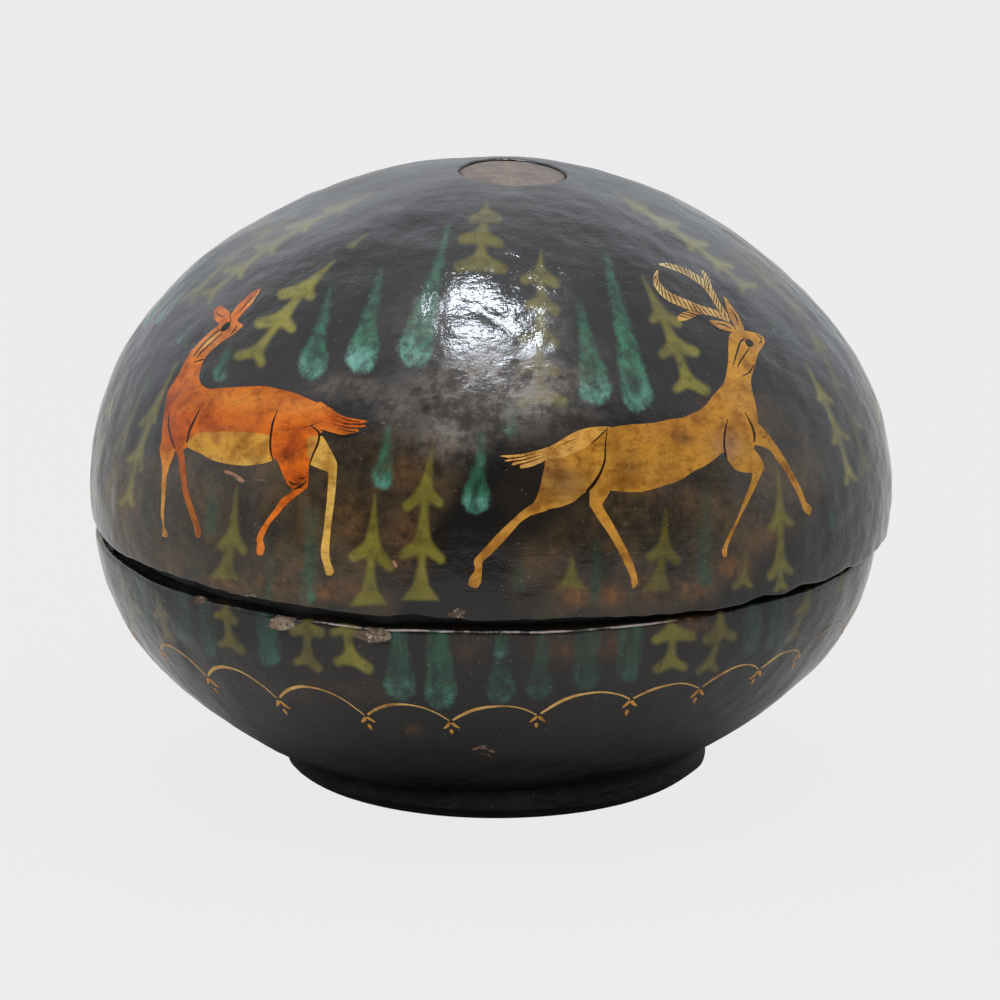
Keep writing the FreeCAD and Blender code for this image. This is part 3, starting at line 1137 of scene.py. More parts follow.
def make_foot():
    """Turned foot ring, a little uneven, with its top let into the bowl's skin."""
    azimuth = front_columns(foot_columns, foot_crowding)
    tread_inner = foot_tread_radius - foot_tread
    heading = around(azimuth)

    def ring_at(radius, height):
        ring = np.zeros((len(azimuth), 3))
        ring[:, :2] = heading * np.reshape(radius, (-1, 1))
        ring[:, 2] = height
        return ring + np.array([foot_offset, 0.0, 0.0])

    uneven = ring_at(foot_radius, 8.0)
    uneven = 0.3 * waves(uneven, 45.0, 91) + 0.1 * waves(uneven, 14.0, 92)
    rows = []
    for flare, drop in foot_fillet:
        ring = ring_at(foot_radius + uneven + flare, 0.0)
        ring[:, 2] = bowl_underside(ring) - drop
        rows.append(ring)
    end = math.acos((foot_radius - foot_tread_radius) / foot_round)
    for angle in np.linspace(end, math.pi / 2 * 0.97, 15):
        radius = foot_tread_radius + foot_round * math.cos(angle)
        height = foot_round * (1 - math.sin(angle))
        rows.append(ring_at(radius + uneven * smooth(0.0, 5.0, height), height))
    for radius, height in ((foot_tread_radius, 0.0), (foot_tread_radius - 2.5, 0.0),
                           (tread_inner + 1.0, 0.0), (tread_inner, 0.6)):
        rows.append(ring_at(radius, height))
    for radius in np.linspace(tread_inner, foot_radius - 0.6, 5):
        ring = ring_at(radius, 0.0)
        ring[:, 2] = bowl_underside(ring) - 0.06
        rows.append(ring)
    return ring_piece("foot_ring_turned", np.stack(rows, axis=1))


# Drawn figures: closed thin coats of paint that lie on the wall
class Coat:
    """Collects flat marks drawn in pixels and lays them on a wall as closed thin shells."""

    def __init__(self, wall, turn, spots=()):
        self.wall = wall
        self.turn = turn
        self.spots = spots
        self.points = []
        self.faces = []
        self.colours = []
        self.count = 0

    def lay(self, pixels, faces, colours, lift):
        pixels = np.asarray(pixels, float)
        run, azimuth = self.wall.seen(pixels)
        azimuth = azimuth + self.turn
        run = run - seam_shift(self.wall, run, azimuth)
        top = on_wall(self.wall, run, azimuth, lift)
        bottom = on_wall(self.wall, run, azimuth, -paint_sunk)
        sides = {}
        for face in faces:
            for a, b in zip(face, face[1:] + face[:1]):
                if (b, a) in sides:
                    del sides[(b, a)]
                else:
                    sides[(a, b)] = True
        total = len(pixels)
        shells = [tuple(face) for face in faces]
        shells += [tuple(total + k for k in face[::-1]) for face in faces]
        shells += [(b, a, total + a, total + b) for a, b in sides]
        points = np.concatenate([top, bottom])
        facing = np.cross(top[faces[0][1]] - top[faces[0][0]], top[faces[0][2]] - top[faces[0][0]])
        if facing @ (top[faces[0][0]] - bottom[faces[0][0]]) < 0:
            shells = [face[::-1] for face in shells]
        self.points.append(points)
        self.colours.append(np.concatenate([colours, colours]))
        self.faces += [tuple(self.count + k for k in face) for face in shells]
        self.count += 2 * total

    def fill(self, outline, stops, lift, spotted=True):
        """Filled outline. Stops are (pixel row, colour) from top to bottom."""
        edge = rounded(outline, True, outline_step)
        low, high = edge.min(axis=0), edge.max(axis=0)
        steps_x = np.arange(low[0], high[0], fill_step)
        steps_y = np.arange(low[1], high[1], fill_step)
        grid = np.stack(np.meshgrid(steps_x, steps_y), axis=-1).reshape(-1, 2)
        grid = grid[outline_field(grid, edge) < -fill_margin]
        spots = [Vector(spot) for spot in np.concatenate([edge, grid]).tolist()]
        loop = [(k, (k + 1) % len(edge)) for k in range(len(edge))]
        found = delaunay_2d_cdt(spots, loop, [], 1, 1e-4)
        pixels = np.array([tuple(spot) for spot in found[0]])
        faces = [list(face) for face in found[2]]
        self.lay(pixels, faces, self.spotted(pixels, stops) if spotted else shade(pixels[:, 1], stops), lift)

    def spotted(self, pixels, stops):
        """Colours by row, with the figure's soft spots of other colours."""
        colours = shade(pixels[:, 1], stops)
        for (x, y), half_length, half_height, colour, strength in self.spots:
            away = ((pixels[:, 0] - x) / half_length) ** 2 + ((pixels[:, 1] - y) / half_height) ** 2
            share = (strength * np.exp(-away))[:, None]
            colours = colours * (1 - share) + linear(colour) * share
        return colours

    def stroke(self, line, widths, stops, lift):
        """Brush line with a width at each given point."""
        path = rounded(line, False, stroke_step)
        given = np.asarray(line, float)
        spaced = np.concatenate([[0], np.cumsum(np.linalg.norm(np.diff(given, axis=0), axis=1))])
        reached = np.concatenate([[0], np.cumsum(np.linalg.norm(np.diff(path, axis=0), axis=1))])
        width = np.interp(reached / reached[-1], spaced / spaced[-1], widths)
        heading = np.gradient(path, axis=0)
        heading /= np.linalg.norm(heading, axis=1)[:, None]
        across = np.stack([-heading[:, 1], heading[:, 0]], axis=-1) * width[:, None] / 2
        pixels = np.stack([path - across, path, path + across], axis=1).reshape(-1, 2)
        faces = []
        for k in range(len(path) - 1):
            for side in (0, 1):
                a = 3 * k + side
                faces.append([a, a + 1, a + 4, a + 3])
        self.lay(pixels, faces, shade(pixels[:, 1], stops), lift)

    def piece(self, name):
        return build_mesh(name, np.concatenate(self.points), self.faces, (), np.concatenate(self.colours))


def rounded(line, closed, step):
    """Smooth line through given points."""
    given = np.asarray(line, float)
    count = len(given)
    bent = []
    for k in range(count if closed else count - 1):
        if closed:
            before, here, there, after = (given[(k + j) % count] for j in (-1, 0, 1, 2))
        else:
            before, here, there, after = (given[min(max(k + j, 0), count - 1)] for j in (-1, 0, 1, 2))
        length = np.linalg.norm(there - here)
        steps = max(1, int(round(length / step)))
        pull_here = 0.5 * (there - before) * min(1.0, 1.6 * length / (np.linalg.norm(there - before) + 1e-6))
        pull_there = 0.5 * (after - here) * min(1.0, 1.6 * length / (np.linalg.norm(after - here) + 1e-6))
        for j in range(steps):
            s = j / steps
            bent.append(
                (2 * s**3 - 3 * s**2 + 1) * here
                + (s**3 - 2 * s**2 + s) * pull_here
                + (3 * s**2 - 2 * s**3) * there
                + (s**3 - s**2) * pull_there
            )
    if not closed:
        bent.append(given[-1])
    return np.array(bent)


def linear(colour):
    """Screen colour 0 to 255 as linear light."""
    value = np.asarray(colour, float) / 255
    return np.where(value <= 0.04045, value / 12.92, ((value + 0.055) / 1.055) ** 2.4)


def shade(rows, stops):
    levels = [stop[0] for stop in stops]
    tones = np.array([linear(stop[1]) for stop in stops])
    return np.stack([np.interp(rows, levels, tones[:, k]) for k in range(3)], axis=-1)


contour = [(0, (38, 24, 14))]
eye_black = [(0, (20, 15, 12))]
doe_coat = [(290, (214, 112, 34)), (330, (220, 122, 44)), (380, (206, 106, 28)), (410, (200, 102, 24)),
            (440, (202, 104, 24)), (465, (198, 108, 28))]
doe_cream = [(430, (204, 154, 60)), (448, (200, 146, 50)), (465, (208, 164, 76))]
# Soft spots of other colours on the animals: middle, half sizes, colour and strength
doe_spots = [
    ((168, 405), 10, 28, (190, 84, 24), 0.6),
    ((214, 345), 22, 22, (226, 150, 70), 0.7),
    ((240, 398), 34, 11, (224, 146, 58), 0.6),
    ((215, 420), 25, 12, (204, 96, 20), 0.5),
    ((300, 404), 22, 10, (220, 142, 70), 0.6),
    ((290, 440), 16, 20, (200, 92, 10), 0.6),
    ((290, 456), 15, 5, (110, 62, 22), 0.5),
    ((299, 484), 7, 4, (60, 34, 20), 0.85),
    ((290, 489), 5, 4, (70, 40, 22), 0.7),
    ((304, 428), 14, 4, (150, 52, 14), 0.6),
    ((345, 425), 18, 6, (176, 84, 34), 0.4),
    ((226, 430), 26, 6, (160, 84, 30), 0.4),
]
buck_spots = [
    ((565, 485), 24, 18, (124, 92, 54), 0.85),
    ((684, 439), 12, 8, (120, 84, 48), 0.7),
    ((627, 466), 10, 8, (130, 92, 48), 0.5),
    ((728, 446), 14, 14, (150, 112, 92), 0.7),
    ((650, 430), 30, 8, (176, 118, 54), 0.5),
    ((740, 395), 14, 20, (190, 138, 68), 0.5),
    ((620, 480), 25, 8, (190, 140, 58), 0.5),
    ((550, 470), 14, 8, (150, 116, 74), 0.5),
    ((716, 326), 10, 5, (176, 132, 104), 0.6),
]


def draw_doe(coat):
    coat.fill(
        [(160, 446), (161.3, 461), (162, 470), (161.3, 485), (161.3, 500), (160.8, 515), (162.8, 524),
         (162.8, 536), (168, 536.8), (167.7, 532.3), (165, 527), (164.3, 515), (165, 500), (166.5, 477.5),
         (169.5, 465.5), (175, 450.5), (168, 436)],
        [(440, (206, 112, 32)), (470, (206, 136, 54)), (500, (208, 150, 68)), (537, (200, 142, 66))],
        far_lift)
    coat.fill(
        [(318, 436), (322.5, 436.3), (328.5, 446), (336.8, 462.5), (336.8, 470), (336, 483.5), (334.5, 500),
         (330.8, 530), (329.3, 549.5), (330, 560), (334.2, 572), (332.3, 575), (327, 575), (324, 566),
         (321, 552.5), (323.3, 534.5), (326.3, 507.5), (327.8, 485), (327.8, 472.3), (322.5, 470),
         (308, 462), (306, 440)],
        [(436, (206, 158, 70)), (470, (212, 168, 80)), (520, (214, 172, 86)), (575, (208, 164, 80))],
        far_lift)
    coat.fill(
        [(219, 322), (218.6, 324.8), (209.8, 331.4), (203.2, 337.9), (196.7, 345.4), (191, 351.9),
         (185, 361.2), (179.9, 370.6), (174.3, 379.9), (167.7, 390.2), (165.4, 401.4), (164, 410.7),
         (162.6, 418), (162, 429.5), (161.5, 444), (164, 452), (173.3, 450.5), (180, 452), (188.3, 447.5),
         (201, 453.5), (213, 460.3), (228, 464), (246, 465.5), (264, 463.3), (273, 459.5), (292, 462),
         (309, 460), (318.8, 443), (319.5, 434), (330, 428), (334, 411), (312, 400.3), (294, 392.8),
         (279, 389), (265.5, 385.7), (249, 386), (227.5, 387.4), (215.4, 388.3), (207, 388.3),
         (202.3, 385.5), (199.5, 380.8), (199, 375.2), (200.9, 366.8), (203.7, 360.3), (209.8, 352.8),
         (221, 343.5), (231.2, 336), (239.6, 329.5), (243.4, 325.3), (238.2, 322), (236, 318), (229, 316)],
        doe_coat, body_lift)
    coat.fill(
        [(188, 442), (200.3, 432.8), (220, 431.6), (240, 431.8), (258, 433), (270.5, 437), (271, 450),
         (273, 459.5), (264, 463.3), (246, 465.5), (228, 464), (213, 460.3), (201, 453.5), (188.3, 447.5)],
        doe_cream, trim_lift)
    coat.fill(
        [(229, 317), (231, 314.5), (234, 309), (239.6, 302.4), (248, 294), (256.4, 288.4), (260.6, 288.2),
         (257.4, 295), (251.8, 303.3), (243.4, 311.7), (238.7, 317.5), (234, 321)],
        [(288, (212, 112, 40)), (320, (216, 116, 40))], trim_lift)
    coat.fill(
        [(230, 316), (229.8, 312.7), (224.7, 307.5), (219.6, 305), (214.4, 307.5), (212, 312.2),
         (214, 318.3), (219, 323.5), (226, 324)],
        [(305, (212, 112, 40)), (323, (216, 116, 40))], trim_lift)
    coat.fill(
        [(318, 402), (330, 408.5), (343.5, 416), (355, 418.5), (367.5, 421), (361, 423.6), (366.5, 426),
         (357.5, 428.2), (359, 431), (351, 433), (343.5, 435), (330, 433.3), (321, 430.3), (312, 427)],
        [(402, (214, 124, 46)), (420, (200, 92, 20)), (435, (206, 118, 40))], trim_lift)
    coat.fill(
        [(276, 410), (272, 424), (270, 440), (271, 454), (276.8, 460.3), (279, 464), (283.5, 476),
         (287.3, 483.5), (292.5, 491), (282, 498.5), (274.5, 509), (267, 519.5), (259.5, 531.5),
         (256.8, 539), (257.7, 543.5), (256.8, 549.5), (258, 554.8), (263.3, 554.8), (265.2, 546.5),
         (263.3, 540.5), (264.8, 534.5), (270, 524), (277.5, 515), (285, 506), (294, 497.8), (300, 493.3),
         (307.5, 487.3), (308.3, 482), (309, 465.5), (313.5, 453.5), (318.8, 443), (319.5, 434), (310, 424),
         (294, 410)],
        [(410, (212, 114, 32)), (440, (220, 108, 18)), (470, (214, 102, 16)), (495, (224, 110, 24)),
         (540, (222, 124, 40))], near_lift)
    coat.fill(
        [(308, 438), (318, 435.5), (318, 443), (313, 453), (309.5, 461), (306.5, 452)],
        [(436, (190, 142, 66)), (460, (184, 124, 52))], near_lift + 0.008)
    coat.fill(
        [(172, 416), (169.5, 420.5), (171, 432.5), (174.8, 444.5), (178.5, 458), (180.8, 477.5),
         (183.8, 494), (189, 510.5), (194.3, 525.5), (196.5, 536), (198.8, 538.3), (202.2, 534.5),
         (200.3, 526.3), (195, 510.5), (189.8, 495.5), (186.8, 477.5), (185.3, 461), (183.8, 446),
         (188, 438), (198, 414)],
        [(414, (190, 86, 22)), (460, (168, 82, 28)), (500, (172, 96, 38)), (538, (176, 106, 50))], near_lift)
    lines = [
        ([(200.3, 409.3), (195, 420), (190.5, 429.5), (187.5, 443)], [0.8, 2.0, 2.4, 1.4]),
        ([(169.5, 411.5), (168.8, 425), (171.8, 438.5), (176.3, 449)], [0.6, 1.6, 1.6, 1.0]),
        ([(277.5, 410), (272.3, 423.5), (270, 440), (270.8, 452), (273, 460.3)], [0.8, 2.2, 2.2, 2.0, 1.0]),
        ([(309.8, 425), (318.8, 432.5), (318, 443), (312.8, 455), (309.8, 464)], [0.8, 2.2, 2.2, 1.8, 1.0]),
        ([(321, 430), (332, 433.5), (343.5, 436), (357, 435.5)], [1.4, 1.8, 1.6, 0.6]),
        ([(336, 415.5), (348, 420), (360, 421.6)], [0.4, 1.1, 0.8]),
        ([(332, 419), (346, 423.6), (362, 424)], [0.4, 1.2, 1.6]),
        ([(333, 423.6), (346, 427.4), (359, 428.2)], [0.4, 1.2, 1.6]),
        ([(338, 428), (348, 431), (356, 431.2)], [0.4, 1.1, 0.8]),
        ([(220, 329), (209.8, 337.8), (202.3, 346), (193.9, 357)], [0.8, 1.3, 1.2, 0.7]),
        ([(222, 333.6), (210.4, 344.4), (201, 353.6), (196.7, 358.4)], [0.7, 1.1, 1.1, 0.7]),
        ([(203.7, 359.4), (193.9, 362.2)], [1.4, 0.7]),
        ([(236.8, 324.8), (234.5, 329.5), (231.2, 334.2)], [0.7, 1.3, 0.7]),
        ([(252, 296.5), (245, 304.5), (238.4, 312.4)], [0.5, 1.1, 0.8]),
        ([(260.2, 289), (257.4, 295), (252.4, 302)], [0.6, 1.0, 0.4]),
        ([(229.8, 314.5), (230.8, 322)], [1.1, 0.7]),
        ([(216.5, 312), (219.5, 315.5), (223.5, 317)], [0.8, 1.5, 0.7]),
        ([(219.5, 305.6), (214.8, 308), (212.6, 312.4), (214.6, 318)], [0.4, 0.8, 0.8, 0.4]),
        ([(288, 480), (292, 483.5), (297, 484.5)], [0.4, 2.0, 0.6]),
        ([(293, 489.5), (300, 487), (307, 481)], [0.5, 2.4, 0.6]),
        ([(298, 479), (303, 478.4), (307, 476.5)], [0.3, 1.1, 0.3]),
        ([(284, 457), (287.5, 458.4)], [0.8, 0.5]),
        ([(298, 428.6), (308, 426.2), (322, 421)], [0.3, 0.9, 0.3]),
    ]
    for line, widths in lines:
        coat.stroke(line, widths, contour, line_lift)
    for line, widths in (([(220.6, 331.2), (210, 341), (200.5, 351)], [1.4, 2.6, 1.0]),
                         ([(258.5, 291), (252.5, 299), (246, 306.5)], [1.6, 2.2, 0.8]),
                         ([(241.4, 325.4), (237.6, 329.6)], [1.6, 0.8])):
        coat.stroke(line, widths, [(0, (228, 178, 100))], line_lift - 0.008)
    coat.fill(
        [(220.8, 331.6), (221.8, 326.8), (226, 322.8), (230.2, 322), (229.8, 326), (226, 330.2)],
        eye_black, eye_lift, False)


buck_coat = [(330, (204, 148, 58)), (380, (200, 144, 54)), (430, (186, 130, 44)), (470, (182, 130, 48)),
             (500, (190, 138, 54))]
buck_leg = [(440, (182, 130, 46)), (490, (184, 130, 48)), (590, (192, 138, 60))]


def draw_buck(coat):
    coat.fill(
        [(532, 504), (520, 512.7), (510.7, 521.3), (500, 531.3), (490.7, 541.3), (480, 553.3), (474, 560.7),
         (474.7, 570.7), (470, 577.3), (468.7, 585.3), (476.7, 588), (480.7, 582.7), (482, 569.3),
         (482.7, 562), (492, 553.3), (501.3, 544), (510.7, 533.3), (520, 522.7), (532, 514.7), (548, 509.3),
         (548, 496)],
        buck_leg, far_lift)
    coat.fill(
        [(752, 420), (757.3, 423.3), (764.7, 431.3), (772.7, 442), (780.7, 452.7), (788.7, 466),
         (795.3, 478), (802, 491.3), (806, 502), (811.3, 507.3), (809.3, 515.3), (803.3, 510.7),
         (799.3, 499.3), (792.7, 486), (784.7, 471.3), (776.7, 460.7), (770, 451.3), (762, 446.7),
         (750, 442)],
        buck_leg, far_lift)
    coat.fill(
        [(731.7, 332.1), (729, 336.4), (728, 348), (728, 358.8), (726.9, 369.5), (725.3, 378),
         (723.2, 383.9), (718, 390), (712.5, 396), (706, 404.7), (699.7, 410), (694, 412.7), (683.3, 417.3),
         (670, 419.3), (650, 423.3), (630, 424.7), (610.7, 428), (601, 434), (580, 446), (545.3, 460.5),
         (544.7, 465.3), (542, 477.3), (540, 486.7), (536, 498.7), (531, 507), (532, 514.7), (548, 509.3),
         (561.3, 506.7), (573.3, 502), (580, 496), (588, 491.3), (609.3, 490.7), (626.7, 492), (640.7, 492),
         (650, 490), (664.7, 485.3), (680.7, 480), (694, 471.3), (704.7, 466), (712.7, 460.7),
         (723.3, 452.7), (737, 455), (752, 451), (755.5, 440), (757.3, 423.3), (756.7, 412.7),
         (754.7, 401.5), (752, 390.8), (750.4, 382.3), (751, 377), (753, 370.5), (755.2, 362),
         (757.9, 353.5), (761.6, 348), (764.8, 342.8), (764.3, 338.5), (760, 334.3), (753, 332), (744, 330),
         (737, 329)],
        buck_coat, body_lift)
    coat.fill(
        [(611, 427.5), (593.3, 427.3), (580, 430), (566.7, 436.7), (550.7, 446), (534.7, 451.3),
         (520, 454.4), (500, 456), (510, 458.4), (504.5, 461), (514, 462), (511.5, 465), (520, 465.4),
         (520, 468.4), (529.3, 467.3), (538.7, 464), (547, 460), (566, 456), (588, 446), (602, 435)],
        [(427, (206, 154, 68)), (445, (214, 162, 80)), (468, (208, 160, 88))], trim_lift)
    coat.fill(
        [(588, 484), (589.3, 493.3), (589.3, 505.3), (592, 509.3), (598.7, 520), (608, 533.3), (616, 546.7),
         (624, 562.7), (630.7, 577.3), (632, 586.7), (633.3, 588.7), (638, 582.7), (634.7, 568),
         (629.3, 554.7), (620, 537.3), (610.7, 520), (602, 505.3), (605.3, 498.7), (610, 489), (604, 476)],
        buck_leg, trim_lift)
    coat.fill(
        [(750, 446), (757.3, 453.3), (762, 460.7), (763.7, 467.3), (761.3, 474), (756, 484.7), (750, 498),
         (743.3, 511.3), (735.3, 527.3), (729.3, 542), (727.3, 550), (726.7, 556.7), (724, 557.3),
         (722, 551.3), (724.7, 544.7), (728.7, 535.3), (736.7, 519.3), (743.3, 502), (748.7, 487.3),
         (752, 476.7), (751.6, 472.7), (744.7, 472.7), (735.3, 470), (729.3, 463.3), (725, 455), (726, 440)],
        buck_leg, trim_lift)
    coat.fill(
        [(723.7, 295.3), (725.3, 303.3), (726.9, 311.9), (731.7, 322.5), (736.5, 331), (743.5, 331),
         (743.5, 324.7), (740.8, 317.2), (734.9, 307.6), (728.5, 299)],
        [(295, (204, 152, 70))], trim_lift)
    coat.fill(
        [(709.3, 320.4), (714.7, 326.8), (722.1, 330.5), (731.7, 332.5), (738, 332), (729.6, 323.6),
         (720, 321)],
        [(320, (200, 148, 68))], near_lift)
    horn = [(262, (214, 194, 142)), (290, (222, 194, 132)), (320, (214, 166, 94))]
    horns = [
        ([(728, 316), (719, 304.4), (712.5, 292.7), (705, 284), (696.5, 277.7), (685.9, 271.3),
          (675.2, 267.6), (665.6, 264.6), (659.2, 264.2)], [3.0, 5.5, 6.5, 6.5, 6.5, 6.5, 6.0, 4.5, 1.6]),
        ([(710.4, 289), (708, 281), (703, 269.7)], [5.0, 6.0, 2.6]),
        ([(729.6, 320.4), (721, 315), (710.4, 311.3), (699.7, 309.2), (690, 305.5), (679.5, 301.2),
          (669.9, 296.9), (661.8, 291), (656.8, 284), (655.6, 277), (657.5, 270.5)],
         [4.0, 6.5, 7.5, 8.5, 8.5, 8.0, 7.5, 7.0, 6.5, 5.0, 2.0]),
        ([(702, 310), (692, 313.5), (684, 316.5), (678, 318.5)], [5.0, 8.0, 8.5, 5.0]),
    ]
    for line, widths in horns:
        coat.stroke(line, widths, horn, near_lift)
    for line, widths in horns:
        bands = rounded(line, False, band_step)
        heading = np.gradient(bands, axis=0)
        heading /= np.linalg.norm(heading, axis=1)[:, None]
        for k in range(1, len(bands) - 1):
            share = k / (len(bands) - 1) * (len(widths) - 1)
            half = 0.5 * np.interp(share, range(len(widths)), widths)
            across = np.array([-heading[k, 1], heading[k, 0]]) + 1.3 * heading[k]
            ends = [bands[k] - half * across, bands[k], bands[k] + half * across]
            coat.stroke(ends, [0.5, 1.0, 0.5], contour, line_lift)
    lines = [
        ([(607, 430), (605.3, 445.3), (604.7, 460), (600, 473.3), (593.3, 484), (586, 492)],
         [0.6, 1.4, 1.8, 2.6, 3.6, 2.4]),
        ([(608, 428), (601, 435), (590.7, 444)], [0.8, 1.6, 0.8]),
        ([(727.3, 419.3), (724.7, 431.3), (724, 446), (726, 458)], [0.6, 1.8, 2.2, 1.4]),
        ([(744.7, 412.7), (750.7, 424.7), (754, 435.3), (754, 442)], [0.6, 1.8, 2.2, 1.4]),
        ([(745, 338.5), (740.3, 341.7), (737, 351.3), (732.8, 365.7)], [1.4, 2.0, 1.8, 0.8]),
        ([(749.3, 348), (742.4, 357.7), (738, 365), (738, 367.9)], [1.0, 1.6, 1.4, 0.8]),
        ([(753.6, 365), (748.8, 372.7), (741.3, 377)], [1.0, 1.6, 0.8]),
        ([(760.5, 340.7), (759.8, 344)], [1.2, 0.8]),
        ([(731.7, 307.6), (737, 317.2), (738, 323.6)], [0.7, 1.5, 0.9]),
        ([(724, 296.5), (726.4, 307), (731, 320), (735.5, 329)], [0.5, 1.0, 1.2, 0.8]),
        ([(728, 299), (735, 308), (740.6, 317.4), (743.2, 325)], [0.4, 0.9, 0.9, 0.5]),
        ([(710, 321), (716, 327.4), (724, 331), (732, 332.6)], [0.4, 1.0, 1.1, 0.6]),
        ([(757, 334.5), (761, 338), (762, 343)], [0.5, 1.2, 0.6]),
        ([(716, 323), (724, 325), (731, 329)], [0.6, 1.3, 0.7]),
        ([(506, 458.6), (520, 457.4), (536, 453)], [1.4, 1.1, 0.4]),
        ([(510, 462), (524, 460), (540, 455)], [1.6, 1.2, 0.4]),
        ([(516, 465.4), (530, 462), (545, 456.6)], [1.4, 1.1, 0.4]),
        ([(556, 447.4), (566, 442.6), (577, 438.6)], [0.3, 0.8, 0.3]),
    ]
    for line, widths in lines:
        coat.stroke(line, widths, contour, line_lift)
    coat.fill(
        [(745, 340.2), (749, 339.2), (753.2, 342.2), (753.2, 346), (749.4, 347.2), (746, 344.6)],
        eye_black, eye_lift, False)


# Festoon of thin swags round the bowl
festoon_joints = [(160, 651), (208, 677), (279, 699), (366, 716), (450.5, 723), (538, 717), (631, 700),
                  (700, 689), (758, 669), (799, 652)]
festoon_tops = [(172, 647), (220, 666), (305, 686), (399, 705), (488, 708), (590, 694), (669, 685),
                (741, 665), (790, 650)]
swag_angle = math.radians(15)
swag_points = 30
swag_power = 2.2
gold = (210, 168, 98)
faded_gold = (112, 96, 66)
petal_gold = (206, 148, 68)
# Three petals under each joint, in millimetres up the wall and along it
petals = [
    ((-0.3, -0.2), (-1.7, -0.9), (-3.2, -2.1)),
    ((-0.3, 0.3), (-1.6, 1.1), (-2.9, 2.5)),
    ((-3.7, -0.1), (-4.9, 0.0), (-6.1, 0.1)),
]


def festoon_runs():
    """Run and azimuth of joints all round, and the rise of each swag above its joints."""
    run, azimuth = bowl.seen(festoon_joints)
    top_run, top_azimuth = bowl.seen(festoon_tops)
    gap = 2 * math.pi - (azimuth[-1] - azimuth[0])
    spare = max(1, int(round(gap / swag_angle)))
    chance = np.random.RandomState(8)
    joints = list(zip(run, azimuth))
    rises = list(top_run - (run[:-1] + run[1:]) / 2)
    for k in range(1, spare):
        share = k / spare
        level = run[-1] * (1 - share) + run[0] * share + chance.uniform(-0.8, 0.8)
        joints.append((level, azimuth[-1] + gap * share + chance.uniform(-0.02, 0.02)))
    for k in range(spare):
        rises.append(np.mean(rises[2:8]) + chance.uniform(-0.6, 0.6))
    joints.append((run[0], azimuth[0] + 2 * math.pi))
    return joints, rises


class Thread(Coat):
    """Marks drawn as run and azimuth, for what goes round the whole box."""

    def line(self, places, widths, colour, lift):
        places = np.asarray(places, float)
        run, azimuth = places[:, 0], places[:, 1]
        points, normals = self.wall.place(run, azimuth)
        heading = np.gradient(points, axis=0)
        heading /= np.linalg.norm(heading, axis=1)[:, None]
        across = np.cross(normals, heading)
        level = relief(self.wall, points)
        rows = []
        sides = (-0.5, 0.0, 0.5, 0.5, -0.5)
        heights = (lift, lift + 0.02, lift, -paint_sunk, -paint_sunk)
        for side, height in zip(sides, heights):
            shift = across * (np.asarray(widths) * side)[:, None]
            rows.append(points + shift + normals * (level + height)[:, None])
        sections = np.stack(rows, axis=1)
        count = len(points)
        faces = []
        for k in range(count - 1):
            for j in range(5):
                a, b = 5 * k + j, 5 * k + (j + 1) % 5
                faces.append((a, b, b + 5, a + 5))
        faces.append(tuple(range(4, -1, -1)))
        faces.append(tuple(5 * (count - 1) + j for j in range(5)))
        faces = [face[::-1] for face in faces]
        self.points.append(sections.reshape(-1, 3))
        self.colours.append(np.tile(linear(colour), (5 * count, 1)))
        self.faces += [tuple(self.count + k for k in face) for face in faces]
        self.count += 5 * count


def make_festoon():
    thread = Thread(bowl, 0.0)
    joints, rises = festoon_runs()
    faded = (len(festoon_tops), len(rises) - 1)
    chance = np.random.RandomState(3)
    for k, rise in enumerate(rises):
        (run_a, azimuth_a), (run_b, azimuth_b) = joints[k], joints[k + 1]
        share = np.linspace(0.03, 0.985, swag_points)
        bow = 1 - np.abs(2 * share - 1) ** swag_power
        run = run_a + (run_b - run_a) * share + rise * bow
        azimuth = azimuth_a + (azimuth_b - azimuth_a) * share
        width = 0.46 + 0.6 * np.exp(-(((share - 0.26) / 0.24) ** 2)) + chance.uniform(-0.06, 0.06)
        colour = faded_gold if k in faded else gold
        thread.line(np.stack([run, azimuth], axis=-1), width, colour, festoon_lift)
    for run, azimuth in joints[:-1]:
        turn = 1 / bowl.outline(np.array([run]))[0][0]
        for petal in petals:
            spine = rounded(petal, False, 0.4) * chance.uniform(0.85, 1.15)
            share = np.linspace(0, 1, len(spine))
            width = 0.32 + 0.75 * np.sin(math.pi * share**0.7)
            places = np.stack([run + spine[:, 0], azimuth + spine[:, 1] * turn], axis=-1)
            thread.line(places, width, petal_gold, petal_lift)
    return thread.piece("bowl_festoon")


# Materials
def wire(tree, kind, inputs=None, **settings):
    """New node with its settings and inputs: a value sets the socket, another node's socket is linked."""
    node = tree.nodes.new(kind)
    for key, value in settings.items():
        setattr(node, key, value)
    for key, value in (inputs or {}).items():
        socket = node.inputs[key]
        if isinstance(value, bpy.types.NodeSocket):
            tree.links.new(value, socket)
        else:
            socket.default_value = value
    return node


def tint(colour):
    return (*linear(colour).tolist(), 1.0)


def blend(tree, share, first, second, mode="MIX"):
    """Mixed colour. A colour of three numbers is a screen colour."""
    if isinstance(first, tuple) and len(first) == 3:
        first = tint(first)
    if isinstance(second, tuple) and len(second) == 3:
        second = tint(second)
    node = wire(tree, "ShaderNodeMix", {0: share, 6: first, 7: second}, data_type="RGBA", blend_type=mode)
    return node.outputs[2]


def reckon(tree, operation, first, second=0.0, third=0.0):
    node = wire(tree, "ShaderNodeMath", {0: first, 1: second, 2: third}, operation=operation)
    return node.outputs[0]


def ease(tree, value, low, high, to_low=0.0, to_high=1.0):
    node = wire(tree, "ShaderNodeMapRange", {0: value, 1: low, 2: high, 3: to_low, 4: to_high},
                interpolation_type="SMOOTHSTEP")
    return node.outputs[0]


